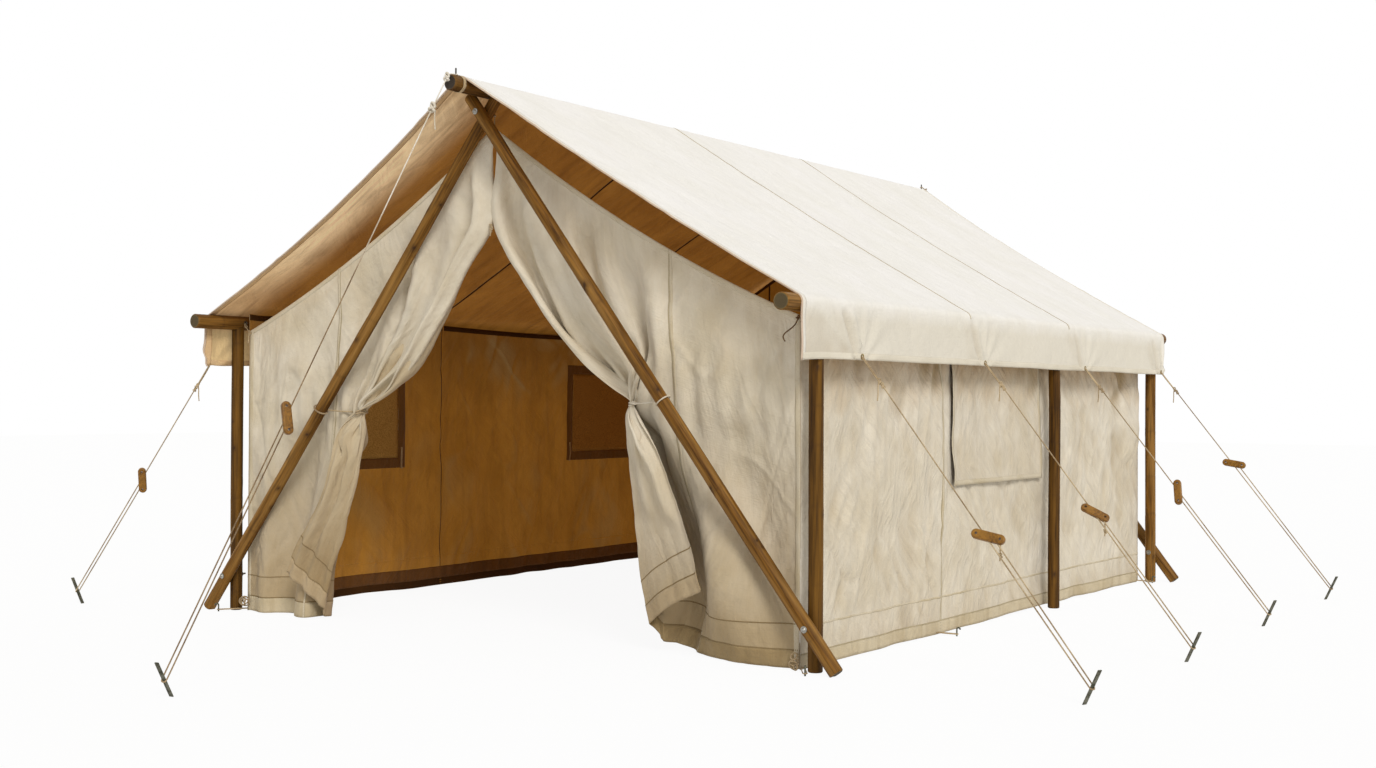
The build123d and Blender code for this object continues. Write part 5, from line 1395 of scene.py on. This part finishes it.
# each rope is tied through its grommet and knotted back on itself, with a short tail
for name, (start, stake, *_) in guys.items():
    start = Vector(start)
    direction = (Vector((*stake, rope["loopHeight"])) - start).normalized()
    side = direction.cross(plumb).normalized()
    material = whiteRope if name == "front" else cottonRope
    if name in spikes:
        reach = rope["spikeRing"]
        ring = [(reach * math.cos(a), spikes[name] + reach * math.sin(a), start.z)
                for a in np.linspace(0, math.tau, 24)[:-1]]
        laidRope(f"spikeRing_{name}", ring, rope["radius"], material, 0.012, closed=True)
        knotAt = start + direction * 0.215
        knot = knotOn(f"ropeKnot_{name}", knotAt, direction, 0.016, material, 2.6, 0.0058)
        knotOn(f"ropeKnotTop_{name}", start + direction * 0.024, direction, 0.013, material, 2.4, 0.0052)
        tail = [knotAt - side * aside - plumb * below
                for aside, below in ((0.006, 0), (0.014, 0.012), (0.010, 0.055), (0.016, 0.105))]
        cordAlong(f"ropeTail_{name}", tail, 0.0032, material)
        continue
    knotAt = start + direction * 0.155
    knots = [knotOn(f"ropeKnot_{name}", knotAt, direction, 0.0095, material),
             knotOn(f"ropeKnotLow_{name}", knotAt + direction * 0.026, direction, 0.0080, material)]
    points = [start + side * aside + direction * on for aside, on in ((0.0062, 0), (0.009, 0.05), (0.0085, 0.11))]
    points += [knotAt + side * aside - plumb * below
               for aside, below in ((0.006, 0), (0.012, 0.02), (0.010, 0.055), (0.015, 0.085))]
    cordAlong(f"ropeDouble_{name}", points, 0.0028, material)


def hullAround(points, reach, count=64):
    # the line a taut band takes round these points, that far out from them
    angle = np.linspace(0, math.tau, count, endpoint=False)
    out = np.stack([np.cos(angle), np.sin(angle)], -1)
    across = np.stack([-np.sin(angle), np.cos(angle)], -1)
    support = (points @ out.T).max(0) + reach
    slope = (np.roll(support, -1) - np.roll(support, 1)) / (2 * (angle[1] - angle[0]))
    return out * support[:, None] + across * slope[:, None]


# door ties: a band round the gathered cloth, a ring round the leg and a cord between them
for hand, door in doors.items():
    heights, cloth, sectionX, sectionY = doorShapes[hand]
    bandZ = door["tie"] - 0.004
    row, mine = int(np.argmin(abs(heights - bandZ))), cloth < 0.80
    near = np.stack([door["side"] * sectionX[row, mine], gableFront + sectionY[row, mine]], -1)
    centre = near.mean(0)
    wire, knotRadius, material = (0.004, 0.012, cottonRope) if hand == "left" else (0.0032, 0.008, whiteRope)
    outline = hullAround(near - centre, 0.0015 + wire) + centre
    for number, shift in ((1, -0.0055), (2, 0.0055)):
        ring = [(x, y, bandZ + shift + 0.004 * math.sin(k * 0.11)) for k, (x, y) in enumerate(outline)]
        laidRope(f"tieBand_{hand}_{number}", ring, wire, material, 0.026, closed=True,
                 nodes=["door_ties"] if number == 1 else [])
    legMiddle, legAxis, _ = legLine(f"front_leg_{hand}")
    legAt = Vector(legMiddle + legAxis * (bandZ + 0.012 - legMiddle[2]) / legAxis[2])
    legAxis = Vector(legAxis)
    across = legAxis.cross(Vector((0, 1, 0))).normalized()
    forward = across.cross(legAxis).normalized()
    ring = [legAt + across * 0.0365 * math.cos(a) + forward * 0.0365 * math.sin(a) + legAxis * 0.003 * math.sin(a)
            for a in np.linspace(0, math.tau, 48)[:-1]]
    laidRope(f"tieRing_{hand}", ring, wire, material, 0.026, closed=True)
    outer = near[np.argmax(near @ np.array([door["side"], -0.35]))]
    begin = Vector((outer[0], outer[1] - 0.004, bandZ))
    toward = (legAt - begin).normalized()
    endAt = legAt - toward * 0.038
    middleAt, tailAt = begin.lerp(endAt, 0.5) - Vector((0, 0.004, 0.006)), begin.lerp(endAt, 0.10)
    knot = knotOn(f"tieKnot_{hand}", tailAt, toward, knotRadius, material, wire=wire)
    cordAlong(f"tieCord_{hand}", [begin, middleAt, endAt], wire, material)
    if hand == "left":
        tail = [tailAt + Vector(to)
                for to in ((0, -0.010, -0.004), (0.004, -0.018, -0.03), (-0.004, -0.015, -0.065))]
        cordAlong(f"tieTail_{hand}", tail, wire * 0.8, material)

# cords from the hooks in the eave poles to the end walls' corners
hookReach = 0.0115
for end, outward, face in (("front", -1, gableFront), ("rear", 1, gableRear)):
    for side, hand in handOf.items():
        eye = Vector((side * (halfSpan - poleRadius - hookReach), face, eaveZ - hookReach - 0.003))
        corner = Vector((side * (gable["half"] - 0.008), face + outward * 0.0083, gable["corner"] - 0.008))
        # all corner cords but the front left take the dark brown cord, painted shade
        cord = cottonRope if (end, hand) == ("front", "left") else brownCord
        knots = [knotOn(f"cornerKnot_{end}_{hand}_{number}", at, corner - eye, 0.0065, cord)
                 for number, at in ((1, eye), (2, corner))]
        tail = [(side * 0.004, outward * 0.006, -0.058)]
        if (end, hand) == ("front", "right"):
            tail = [(-0.012, -0.014, -0.040), (-0.060, -0.020, -0.070), (-0.066, -0.020, -0.090),
                    (-0.054, -0.020, -0.104)]
        points = [eye, eye.lerp(corner, 0.5) - Vector((0, 0, 0.006)), corner,
                  *(corner + Vector(to) for to in ((0, outward * 0.006, -0.012), *tail))]
        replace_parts(cordAlong(f"cornerCord_{end}_{hand}", points, 0.003, cord), "corner_ties")
    low, high = ((0, face + outward * 0.0048, gable["apex"] + z) for z in (-0.0075, 0.0528))
    laidRope(f"apexLoop_{end}", stadium(low, high, 0.0105, (0, 1, 0)), 0.003, cottonRope, 0.02, closed=True)

# a toggle cord is knotted where the door's slit opens
slitAt = Vector((0.0, gableFront - 0.014, slitZ + 0.006))
toggle = [knotOn("slitKnot_1", slitAt, (0, 0, 1), 0.009, cottonRope),
          knotOn("slitKnot_2", slitAt - Vector((0.002, 0, 0.020)), (0.3, 0, 1), 0.007, cottonRope)]
tail = [slitAt + Vector(to) for to in ((0, 0, 0), (0.003, -0.004, -0.022), (-0.004, -0.003, -0.048))]
cordAlong("slitTail", tail, 0.0026, cottonRope)

# a spare end hangs knotted from two of the sliders
for name in ("right_1", "right_2"):
    body = f"slider_body_{name}"
    verts = vertsOf(f"slider_{name}")
    end = Vector(verts[verts[:, 2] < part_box(f"slider_{name}")[0].z + 0.008].mean(0))
    knotAt = end - Vector((0, 0, 0.046))
    knot = knotOn(f"sliderKnot_{name}", knotAt, (0, 0, 1), 0.0075, cottonRope, body=body)
    tail = [end + Vector((0, 0, 0.002)), end - Vector((0.002, 0, 0.02)), knotAt, knotAt - Vector((0.003, 0, 0.022))]
    cordAlong(f"sliderTail_{name}", tail, 0.003, cottonRope, body=body)

# webbing tabs round the ends of the ridge pole
tab = {"width": 0.018, "radius": poleRadius + 0.0013}


def tabPlace(angle, y):
    radius = tab["radius"] + 0.0006 * np.sin(angle * 7)
    return np.stack([radius * np.sin(angle), y, ridgeZ + radius * np.cos(angle)], -1)


for end, tabY in (("front", roofLow.y - 0.002 - tab["width"]), ("rear", ridgeHigh.y - 0.004 - tab["width"])):
    loop = clothSheet(f"ridgeTab_{end}", np.linspace(0, math.tau, 73), np.linspace(tabY, tabY + tab["width"], 5),
                      tabPlace, [webbing], True, thick=0.0014)
    own(loop, "webbing", "ridge_tabs")

# rope loops that hold the wall hems to the pegs
pegLoopZ, hemX = 0.011, wallOut + 0.0113
pegs = [(side, (halfSpan + 0.012, frontY - 0.109), (hemX, gableFront + 0.002)) for side in (1, -1)]
for side in handOf:
    pegs += [(side, (wallOut + 0.110, y), (hemX, y)) for y in (frontY + (middleY - frontY) / 2, rearY - 0.060)]
for number, (side, (pegX, pegY), (x, y)) in enumerate(pegs, 1):
    turns = stadium((side * x, y, pegLoopZ), (side * pegX, pegY, pegLoopZ), 0.009, (0, 0, 1))
    laidRope(f"pegLoop_{number}", turns, 0.0026, cottonRope, 0.018, closed=True, nodes=["peg_loops"])
# spare cord left in a few loose turns at the two front corners
pick = np.random.default_rng(77)
for side, hand in handOf.items():
    for number in range(4):
        reach, lift, shift = pick.uniform(0.012, 0.024), pick.uniform(0.015, 0.075), pick.uniform(-0.012, 0.012, 2)
        turnBy = pick.uniform(0, math.tau)
        lift = max(lift, 0.9 * reach + 0.005)
        x, y = side * (wallOut - 0.012) + shift[0], gableFront - 0.022 + shift[1] * 0.5 - 0.004 * number
        ring = [(x + reach * math.cos(a), y + 0.5 * reach * math.sin(a + turnBy), lift + 0.9 * reach * math.sin(a))
                for a in np.linspace(0, math.tau, 40)[:-1]]
        laidRope(f"cornerTurn_{hand}_{number + 1}", ring, 0.0036, cottonRope, 0.018, closed=True)
print("ties and loops")
